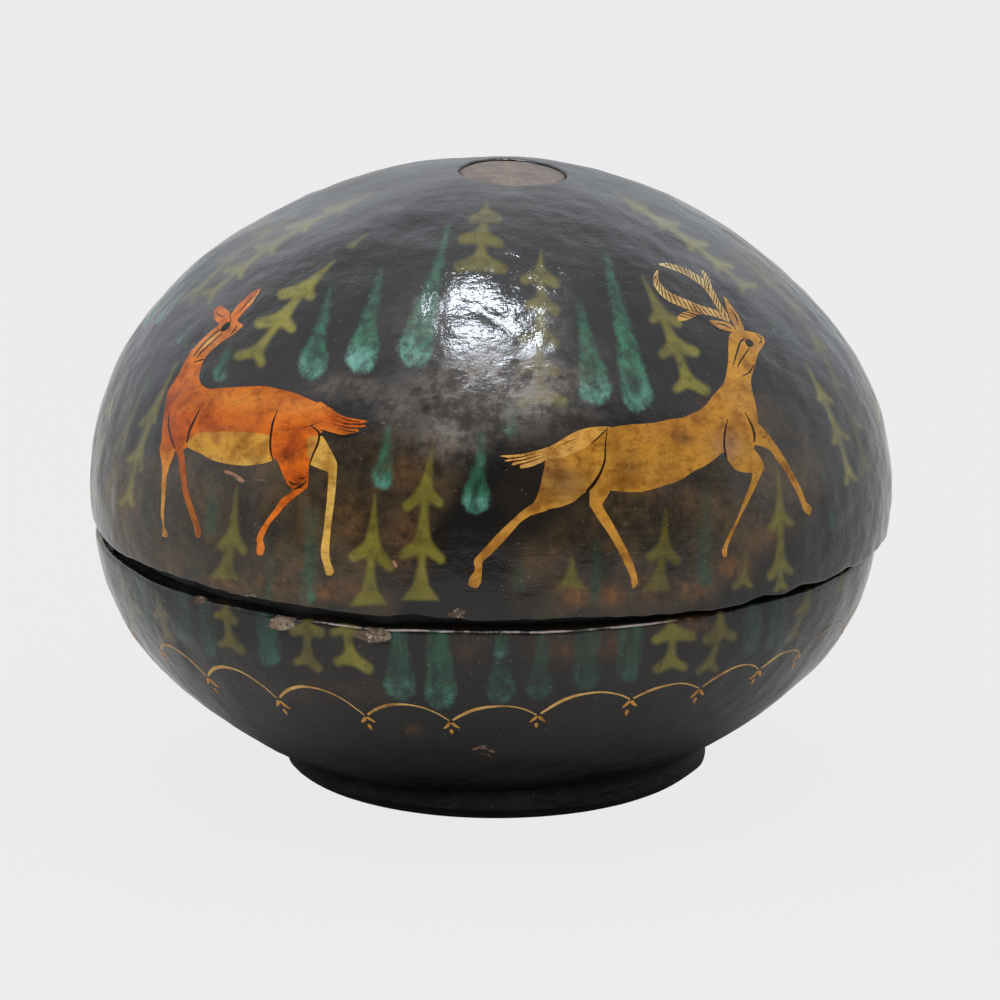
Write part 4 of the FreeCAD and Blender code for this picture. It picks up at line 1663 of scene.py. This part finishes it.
def times(tree, first, second, plus=None):
    """Product of two values, plus a third where there is one."""
    if plus is None:
        return reckon(tree, "MULTIPLY", first, second)
    return reckon(tree, "MULTIPLY_ADD", first, second, plus)


def grain(tree, place, scale, detail, rough):
    values = {"Vector": place, "Scale": scale, "Detail": detail, "Roughness": rough}
    return wire(tree, "ShaderNodeTexNoise", values).outputs[0]


def stretched(tree, place, scale):
    return wire(tree, "ShaderNodeMapping", {"Vector": place, "Scale": scale}).outputs[0]


def new_material(name, **values):
    """Material with a Principled shader; values set its sockets."""
    material = bpy.data.materials.new(name)
    material.use_nodes = True
    tree = material.node_tree
    shader = tree.nodes["Principled BSDF"]
    for key, value in values.items():
        shader.inputs[key.replace("_", " ")].default_value = value
    place = wire(tree, "ShaderNodeTexCoord").outputs["Object"]
    return material, tree, shader, place


def varnish_group():
    """Brushed, pimpled surface of old varnish: its height, where dust dulls it, and specks of dust."""
    group = bpy.data.node_groups.new("old_varnish", "ShaderNodeTree")
    for name in ("Height", "Dust", "Speck"):
        group.interface.new_socket(name, in_out="OUTPUT", socket_type="NodeSocketFloat")
    end = group.nodes.new("NodeGroupOutput")
    place = wire(group, "ShaderNodeTexCoord").outputs["Object"]
    flattened = stretched(group, place, (1.0, 1.0, 2.6))
    pimple = grain(group, place, 900.0, 2.0, 0.5)
    wrinkle = grain(group, flattened, 230.0, 4.0, 0.62)
    ripple = grain(group, place, 110.0, 2.0, 0.5)
    cell = wire(group, "ShaderNodeTexVoronoi", {"Vector": place, "Scale": 330.0})
    chosen = wire(group, "ShaderNodeSeparateColor", {0: cell.outputs["Color"]})
    dot = ease(group, cell.outputs["Distance"], 0.05, 0.32, 1.0, 0.0)
    pit = times(group, dot, ease(group, chosen.outputs[0], 0.55, 0.85))
    mote = wire(group, "ShaderNodeTexVoronoi", {"Vector": place, "Scale": 620.0})
    picked = wire(group, "ShaderNodeSeparateColor", {0: mote.outputs["Color"]})
    speck = times(group, ease(group, mote.outputs["Distance"], 0.06, 0.18, 1.0, 0.0),
                  ease(group, picked.outputs[1], 0.72, 0.98))
    height = times(group, wrinkle, 2.8, pimple)
    height = times(group, ripple, 6.0, height)
    height = times(group, pit, -0.3, height)
    height = times(group, speck, 0.4, height)
    dust = ease(group, grain(group, place, 55.0, 5.0, 0.65), 0.42, 0.72)
    group.links.new(height, end.inputs["Height"])
    group.links.new(dust, end.inputs["Dust"])
    group.links.new(speck, end.inputs["Speck"])
    return group


varnish = varnish_group()


def finish_varnish(tree, shader, distance, smooth_rough, dull_rough):
    """Gives a shader the varnish's relief and uneven gloss."""
    node = wire(tree, "ShaderNodeGroup", node_tree=varnish)
    values = {"Height": node.outputs["Height"], "Distance": distance, "Strength": 1.0}
    bump = wire(tree, "ShaderNodeBump", values)
    tree.links.new(bump.outputs[0], shader.inputs["Normal"])
    rough = ease(tree, node.outputs["Dust"], 0.0, 1.0, smooth_rough, dull_rough)
    tree.links.new(rough, shader.inputs["Roughness"])
    return node, rough, bump


def attribute(tree, name):
    return wire(tree, "ShaderNodeAttribute", attribute_name=name).outputs["Fac"]


def blend_value(tree, share, first, second):
    return wire(tree, "ShaderNodeMix", {0: share, 2: first, 3: second}, data_type="FLOAT").outputs[0]


def lacquer_material():
    material, tree, shader, place = new_material("painted_lacquer", Specular_IOR_Level=0.4,
                                                 Coat_Roughness=0.4)
    node, rough, bump = finish_varnish(tree, shader, varnish_relief, 0.08, 0.2)
    upright = stretched(tree, place, (1.0, 1.0, 0.16))
    cloud = grain(tree, place, 26.0, 6.0, 0.6)
    streak = grain(tree, place, 300.0, 3.0, 0.7)
    brush = grain(tree, place, 90.0, 4.0, 0.6)
    bristle = grain(tree, upright, 420.0, 3.0, 0.6)
    fibre = grain(tree, place, 900.0, 3.0, 0.6)
    ragged = times(tree, streak, 0.8, times(tree, brush, 0.9, -0.85))

    blotch = grain(tree, place, 48.0, 5.0, 0.62)
    smear = times(tree, streak, 0.5, times(tree, brush, 0.5))
    colour = blend(tree, ease(tree, cloud, 0.4, 0.75), (20, 19, 18), (38, 33, 27))
    wash = times(tree, blotch, 16.0, reckon(tree, "SUBTRACT", attribute(tree, "hill"), 8.0))
    hill_cover = times(tree, ease(tree, wash, -4.5, 3.0, 1.0, 0.0),
                       ease(tree, smear, 0.38, 0.58, 0.35, 0.95))
    hill_paint = blend(tree, ease(tree, blotch, 0.32, 0.66), (44, 38, 29), (86, 68, 44))
    colour = blend(tree, hill_cover, colour, hill_paint)
    earth_cover = times(tree, attribute(tree, "earth"), ease(tree, smear, 0.38, 0.58, 0.2, 0.95))
    colour = blend(tree, earth_cover, colour, blend(tree, streak, (92, 58, 28), (142, 92, 42)))

    tree_edge = ease(tree, reckon(tree, "ADD", attribute(tree, "tree"), ragged), -1.05, 0.6, 1.0, 0.0)
    tree_cover = times(tree, tree_edge, ease(tree, smear, 0.36, 0.56, 0.5, 0.97))
    tree_share = times(tree, attribute(tree, "tree_tone"), ease(tree, blotch, 0.35, 0.65, 0.6, 1.3))
    tree_paint = blend(tree, tree_share, (62, 50, 12), (142, 136, 50))
    colour = blend(tree, tree_cover, colour, tree_paint)
    drop_reach = times(tree, ragged, 2.4, attribute(tree, "drop"))
    drop_edge = ease(tree, times(tree, fibre, 2.6, drop_reach), -0.05, 2.0, 1.0, 0.0)
    drop_cover = times(tree, drop_edge, ease(tree, attribute(tree, "drop_tone"), 0.0, 0.85, 0.35, 0.98))
    drop_cover = times(tree, drop_cover, ease(tree, bristle, 0.36, 0.6, 0.35, 1.0))
    drop_share = times(tree, attribute(tree, "drop_tone"), ease(tree, smear, 0.36, 0.6, 0.6, 1.15))
    drop_paint = blend(tree, drop_share, (24, 42, 36), (56, 122, 94))
    pale_cover = times(tree, attribute(tree, "drop_pale"), ease(tree, smear, 0.4, 0.56, 0.25, 1.0))
    drop_paint = blend(tree, pale_cover, drop_paint, (116, 176, 164))
    colour = blend(tree, drop_cover, colour, drop_paint)

    # Abraded varnish, greyed both by wear and as painted sheen in the halo round the overhead highlight
    rub_and_sheen = times(tree, attribute(tree, "rub_and_sheen"), ease(tree, smear, 0.4, 0.6, 0.3, 1.15))
    colour = blend(tree, times(tree, rub_and_sheen, 0.9), colour, (138, 130, 124))
    colour = blend(tree, times(tree, node.outputs["Speck"], 0.45), colour, (150, 146, 138))
    scraped = ease(tree, reckon(tree, "ADD", attribute(tree, "scrape"), ragged), -0.3, 0.15, 1.0, 0.0)
    colour = blend(tree, scraped, colour, (156, 116, 92))
    # The pale line on the bowl's rim edge: worn lacquer and a painted highlight
    worn = times(tree, attribute(tree, "worn"), ease(tree, smear, 0.4, 0.58, 0.35, 1.0))
    worn = ease(tree, worn, 0.15, 0.7, 0.0, 0.95)
    colour = blend(tree, worn, colour, (180, 166, 164))
    torn = times(tree, streak, 2.4, reckon(tree, "SUBTRACT", attribute(tree, "chip"), 1.2))
    chipped = ease(tree, torn, -0.25, 0.1, 1.0, 0.0)
    crumb = blend(tree, ease(tree, brush, 0.35, 0.65), (84, 68, 56), (138, 122, 106))
    crumb = blend(tree, ease(tree, fibre, 0.56, 0.7, 0.0, 0.85), crumb, (190, 174, 160))
    crumb = blend(tree, ease(tree, fibre, 0.44, 0.34), crumb, (58, 46, 36))
    colour = blend(tree, chipped, colour, crumb)
    tree.links.new(colour, shader.inputs["Base Color"])

    bare = reckon(tree, "MAXIMUM", chipped, scraped)
    height = wire(tree, "ShaderNodeSeparateXYZ", {0: place}).outputs["Z"]
    settled = times(tree, ease(tree, height, dusty_from, dusty_to), ease(tree, blotch, 0.3, 0.6, 0.5, 1.0))
    dusty = blend_value(tree, settled, rough, 0.3)
    dull = blend_value(tree, bare, blend_value(tree, rub_and_sheen, dusty, 0.42), 0.85)
    tree.links.new(dull, shader.inputs["Roughness"])
    tree.links.new(blend_value(tree, bare, 0.1, 0.0), shader.inputs["Coat Weight"])
    pulpy = times(tree, chipped, times(tree, fibre, 9.0))
    tree.links.new(reckon(tree, "ADD", node.outputs["Height"], pulpy), bump.inputs["Height"])
    return material


def figure_material():
    material, tree, shader, place = new_material("figure_paint", Specular_IOR_Level=0.2)
    finish_varnish(tree, shader, varnish_relief, 0.15, 0.27)
    paint = wire(tree, "ShaderNodeAttribute", attribute_name="paint").outputs["Color"]
    brush = grain(tree, place, 120.0, 5.0, 0.6)
    cloud = grain(tree, place, 45.0, 4.0, 0.6)
    fleck = grain(tree, place, 1300.0, 3.0, 0.6)
    streak = grain(tree, place, 330.0, 4.0, 0.7)
    level = stretched(tree, place, (0.22, 0.6, 1.0))
    bristle = grain(tree, level, 620.0, 4.0, 0.65)
    darker = blend(tree, 1.0, paint, (176, 146, 112), "MULTIPLY")
    colour = blend(tree, ease(tree, brush, 0.42, 0.7, 0.0, 0.8), paint, darker)
    smudge = blend(tree, 1.0, colour, (150, 122, 96), "MULTIPLY")
    colour = blend(tree, ease(tree, cloud, 0.54, 0.74, 0.0, 0.5), colour, smudge)
    scuffed = blend(tree, 1.0, colour, (150, 118, 88), "MULTIPLY")
    colour = blend(tree, ease(tree, streak, 0.52, 0.7, 0.0, 0.45), colour, scuffed)
    fresh = blend(tree, 1.0, colour, (1.25, 1.22, 1.1, 1.0), "MULTIPLY")
    colour = blend(tree, ease(tree, streak, 0.46, 0.32, 0.0, 0.6), colour, fresh)
    colour = blend(tree, ease(tree, bristle, 0.5, 0.66, 0.0, 0.32), colour, scuffed)
    colour = blend(tree, ease(tree, bristle, 0.46, 0.34, 0.0, 0.3), colour, fresh)
    worn = times(tree, ease(tree, fleck, 0.57, 0.67, 0.0, 0.5), ease(tree, cloud, 0.5, 0.62, 0.1, 1.0))
    colour = blend(tree, worn, colour, (62, 42, 26))
    tree.links.new(colour, shader.inputs["Base Color"])
    return material


def black_lacquer_material():
    material, tree, shader, place = new_material("black_lacquer", Specular_IOR_Level=0.3, Coat_Weight=0.05,
                                                 Coat_Roughness=0.45)
    finish_varnish(tree, shader, varnish_relief, 0.2, 0.34)
    cloud = grain(tree, place, 60.0, 6.0, 0.65)
    scuff = grain(tree, place, 230.0, 4.0, 0.7)
    colour = blend(tree, ease(tree, cloud, 0.45, 0.75), (12, 12, 11), (26, 24, 22))
    worn = times(tree, ease(tree, scuff, 0.64, 0.72), ease(tree, cloud, 0.52, 0.64))
    colour = blend(tree, worn, colour, (92, 76, 60))
    tree.links.new(colour, shader.inputs["Base Color"])
    return material


def pulp_material():
    material, tree, shader, place = new_material("paper_pulp", Roughness=0.85)
    fibre = grain(tree, place, 700.0, 5.0, 0.7)
    lump = grain(tree, place, 160.0, 4.0, 0.6)
    colour = blend(tree, ease(tree, lump, 0.3, 0.7), (122, 104, 86), (158, 140, 116))
    colour = blend(tree, ease(tree, fibre, 0.55, 0.75, 0.0, 0.5), colour, (84, 68, 52))
    bump = wire(tree, "ShaderNodeBump", {"Height": reckon(tree, "ADD", fibre, lump), "Distance": 0.0006})
    tree.links.new(bump.outputs[0], shader.inputs["Normal"])
    tree.links.new(colour, shader.inputs["Base Color"])
    return material


def lining_material(name, dark, light):
    material, tree, shader, place = new_material(name, Specular_IOR_Level=0.4)
    finish_varnish(tree, shader, lining_relief, 0.45, 0.65)
    cloud = grain(tree, place, 40.0, 6.0, 0.65)
    fibre = grain(tree, place, 380.0, 4.0, 0.7)
    colour = blend(tree, ease(tree, cloud, 0.35, 0.7), dark, light)
    thread = blend(tree, 1.0, colour, (2.0, 1.9, 1.8, 1.0), "MULTIPLY")
    colour = blend(tree, ease(tree, fibre, 0.6, 0.75, 0.0, 0.5), colour, thread)
    tree.links.new(colour, shader.inputs["Base Color"])
    return material


def disc_material():
    material, tree, shader, place = new_material("bare_wood", Specular_IOR_Level=0.4)
    along = stretched(tree, place, (0.25, 1.0, 1.0))
    fibre = grain(tree, along, 420.0, 5.0, 0.65)
    pore = grain(tree, place, 520.0, 5.0, 0.65)
    cloud = grain(tree, place, 110.0, 5.0, 0.6)
    colour = blend(tree, ease(tree, cloud, 0.35, 0.68), (100, 86, 78), (146, 130, 120))
    colour = blend(tree, ease(tree, fibre, 0.5, 0.7, 0.0, 0.55), colour, (166, 140, 118))
    colour = blend(tree, ease(tree, pore, 0.54, 0.7, 0.0, 0.7), colour, (52, 43, 38))
    tree.links.new(colour, shader.inputs["Base Color"])
    height = reckon(tree, "ADD", fibre, pore)
    bump = wire(tree, "ShaderNodeBump", {"Height": height, "Distance": 0.00025})
    tree.links.new(bump.outputs[0], shader.inputs["Normal"])
    tree.links.new(ease(tree, cloud, 0.3, 0.7, 0.4, 0.6), shader.inputs["Roughness"])
    return material


lacquer = lacquer_material()
figure_paint = figure_material()
black_lacquer = black_lacquer_material()
pulp = pulp_material()
lining = lining_material("dark_lining", (24, 22, 20), (40, 36, 30))
# The collar's card is painted near black as the painted shade of the gap under the lid
gap_shade_card = lining_material("dark_card", (4, 4, 4), (8, 7, 6))
wood = disc_material()


def dress(piece, material, body, slot, *nodes):
    piece.data.materials.clear()
    piece.data.materials.append(material)
    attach(piece, body)
    if nodes:
        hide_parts(*nodes)


dress(make_lid_skin(), lacquer, "lid", "painted_lacquer", "lid_skin")
dress(make_lid_layer("lid_pulp", pulp_inset, lining_inset - glue_line, disc_seat_depth), pulp, "lid",
      "paper_pulp", "lid_shell")
dress(make_lid_layer("lid_paper_lining", lining_inset, wall_thickness, 0.0), lining, "lid",
      "dark_lining", "lid_lining")
dress(make_crown_disc(), wood, "lid", "bare_wood", "crown_disc")
dress(make_bowl_skin(), lacquer, "base", "painted_lacquer", "base_skin")
dress(make_bowl_layer("bowl_pulp", pulp_inset, lining_inset - glue_line), pulp, "base",
      "paper_pulp", "base_shell")
dress(make_bowl_layer("bowl_paper_lining", lining_inset, wall_thickness), lining, "base",
      "dark_lining", "base_lining")
dress(make_foot(), black_lacquer, "base", "black_lacquer", "foot_ring")
dress(make_festoon(), figure_paint, "base", "painted_lacquer")
for side, turn in (("front", 0.0), ("back", math.pi)):
    doe = Coat(lid, turn, doe_spots)
    draw_doe(doe)
    dress(doe.piece("doe_" + side), figure_paint, "lid", "painted_lacquer")
    buck = Coat(lid, turn, buck_spots)
    draw_buck(buck)
    dress(buck.piece("buck_" + side), figure_paint, "lid", "painted_lacquer")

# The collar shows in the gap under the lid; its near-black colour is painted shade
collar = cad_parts["locating_collar"]
collar.data.materials.clear()
collar.data.materials.append(gap_shade_card)

# Stage, in metres. Levels are shares of white.
background_level = 0.862
floor_level_share = 0.94
floor_mirror_share = 0.55
diffuse_level = 0.55
dark_front_level = 0.05
bright_side_level = 0.96
back_dimming = 0.28
raised_level = 0.55
floor_reach = 6.0
camera_far = 20.0
# Floor colours: pale away from the box, and painted shade in front of the camera's view and round the box
lit_floor = (0.62, 0.62, 0.62, 1.0)
floor_painted_shade = (0.08, 0.08, 0.08, 1.0)


def make_floor():
    """Pale floor, painted dark in front of the camera's view so that the box's front reflects a dark room,
    and dark in a ring round the box as a painted shadow.
    """
    mesh = bpy.data.meshes.new("floor")
    sides = ((-1, -1), (1, -1), (1, 1), (-1, 1))
    corners = [(x * floor_reach, y * floor_reach, 0) for x, y in sides]
    mesh.from_pydata(corners, [], [(0, 1, 2, 3)])
    floor = bpy.data.objects.new("floor", mesh)
    bpy.context.scene.collection.objects.link(floor)
    material, tree, shader, place = new_material("pale_floor", Roughness=0.9, Specular_IOR_Level=0.0)
    light = wire(tree, "ShaderNodeLightPath")
    spot = wire(tree, "ShaderNodeSeparateXYZ", {0: place})
    x, y = spot.outputs["X"], spot.outputs["Y"]
    away = reckon(tree, "POWER", times(tree, x, x, times(tree, y, y)), 0.5)
    # Painted shade: darker towards the front and in a ring round the box as a painted shadow, in the floor's
    # colour and in its glow in reflections
    floor_unshaded_share = times(tree, ease(tree, y, -0.8, -0.3), ease(tree, away, 0.055, 0.16))
    tree.links.new(blend(tree, floor_unshaded_share, floor_painted_shade, lit_floor), shader.inputs["Base Color"])
    glow = wire(tree, "ShaderNodeEmission", {"Color": (1.0, 1.0, 1.0, 1.0), "Strength": background_level})
    direct = reckon(tree, "MAXIMUM", light.outputs["Is Camera Ray"], light.outputs["Is Transmission Ray"])
    mirrored = times(tree, light.outputs["Is Glossy Ray"], floor_unshaded_share)
    seen = times(tree, direct, floor_level_share)
    shown = times(tree, mirrored, floor_mirror_share, seen)
    mixed = wire(tree, "ShaderNodeMixShader", {0: shown, 1: shader.outputs[0], 2: glow.outputs[0]})
    tree.links.new(mixed.outputs[0], tree.nodes["Material Output"].inputs["Surface"])
    mesh.materials.append(material)


def make_world():
    """Room: white to the camera, bright behind and above and dark behind the camera in reflections."""
    world = bpy.data.worlds.new("studio")
    world.use_nodes = True
    tree = world.node_tree
    back = tree.nodes["Background"]
    light = wire(tree, "ShaderNodeLightPath")
    heading = wire(tree, "ShaderNodeSeparateXYZ", {0: wire(tree, "ShaderNodeTexCoord").outputs["Generated"]})
    backward = heading.outputs["Y"]
    sides = ease(tree, backward, -0.75, -0.05, dark_front_level, bright_side_level)
    sides = reckon(tree, "SUBTRACT", sides, ease(tree, backward, 0.3, 1.0, 0.0, back_dimming))
    raised = times(tree, ease(tree, backward, 0.35, 0.8), ease(tree, heading.outputs["Z"], 0.1, 0.5))
    mirrored = times(tree, raised, raised_level, sides)
    mirrored = times(tree, light.outputs["Is Glossy Ray"], mirrored)
    direct = reckon(tree, "MAXIMUM", light.outputs["Is Camera Ray"], light.outputs["Is Transmission Ray"])
    strength = times(tree, direct, background_level, mirrored)
    strength = times(tree, light.outputs["Is Diffuse Ray"], diffuse_level, strength)
    tree.links.new(strength, back.inputs["Strength"])
    cool = blend(tree, light.outputs["Is Glossy Ray"], (1.0, 1.0, 1.0, 1.0), (0.9, 0.94, 1.0, 1.0))
    tree.links.new(cool, back.inputs["Color"])
    bpy.context.scene.world = world


def add_lamp(name, place, aim, size_x, size_y, radiance, colour, diffuse, glossy):
    """Rectangular soft lamp; radiance in watts per square metre and steradian."""
    data = bpy.data.lights.new(name, "AREA")
    data.shape = "RECTANGLE"
    data.size = size_x
    data.size_y = size_y
    data.energy = radiance * size_x * size_y * math.pi
    data.color = colour
    lamp = bpy.data.objects.new(name, data)
    bpy.context.scene.collection.objects.link(lamp)
    lamp.location = place
    lamp.rotation_euler = (Vector(aim) - Vector(place)).to_track_quat("-Z", "Y").to_euler()
    lamp.visible_camera = False
    lamp.visible_diffuse = diffuse
    lamp.visible_glossy = glossy


make_floor()
make_world()
# Lamps: place, aim, size, radiance, colour, and whether diffuse and glossy surfaces show them
lamps = {
    "overhead_gloss": ((0.0, -0.1, 1.25), (0.0, 0.0, 0.1), 0.25, 0.21, 62.0, (0.82, 0.9, 1.0), False, True),
    "overhead_soft": ((0.1, -0.25, 1.5), (0, 0, 0.08), 1.2, 1.2, 0.75, (1.0, 1.0, 1.0), True, False),
    "front_fill": ((-0.3, -2.0, 0.75), (0, 0, 0.08), 1.6, 1.2, 3.4, (1.0, 0.99, 0.97), True, False),
}
for lamp_name, lamp in lamps.items():
    add_lamp(lamp_name, *lamp)

scene = bpy.context.scene
scene.view_settings.view_transform = "Standard"
camera_data = bpy.data.cameras.new("camera")
camera_data.lens = camera_lens
camera_data.sensor_width = camera_sensor
camera_data.clip_end = camera_far
camera = bpy.data.objects.new("camera", camera_data)
scene.collection.objects.link(camera)
camera.location = Vector((camera_place * MM).tolist())
camera.rotation_euler = Vector((-towards_camera).tolist()).to_track_quat("-Z", "Y").to_euler()
scene.camera = camera
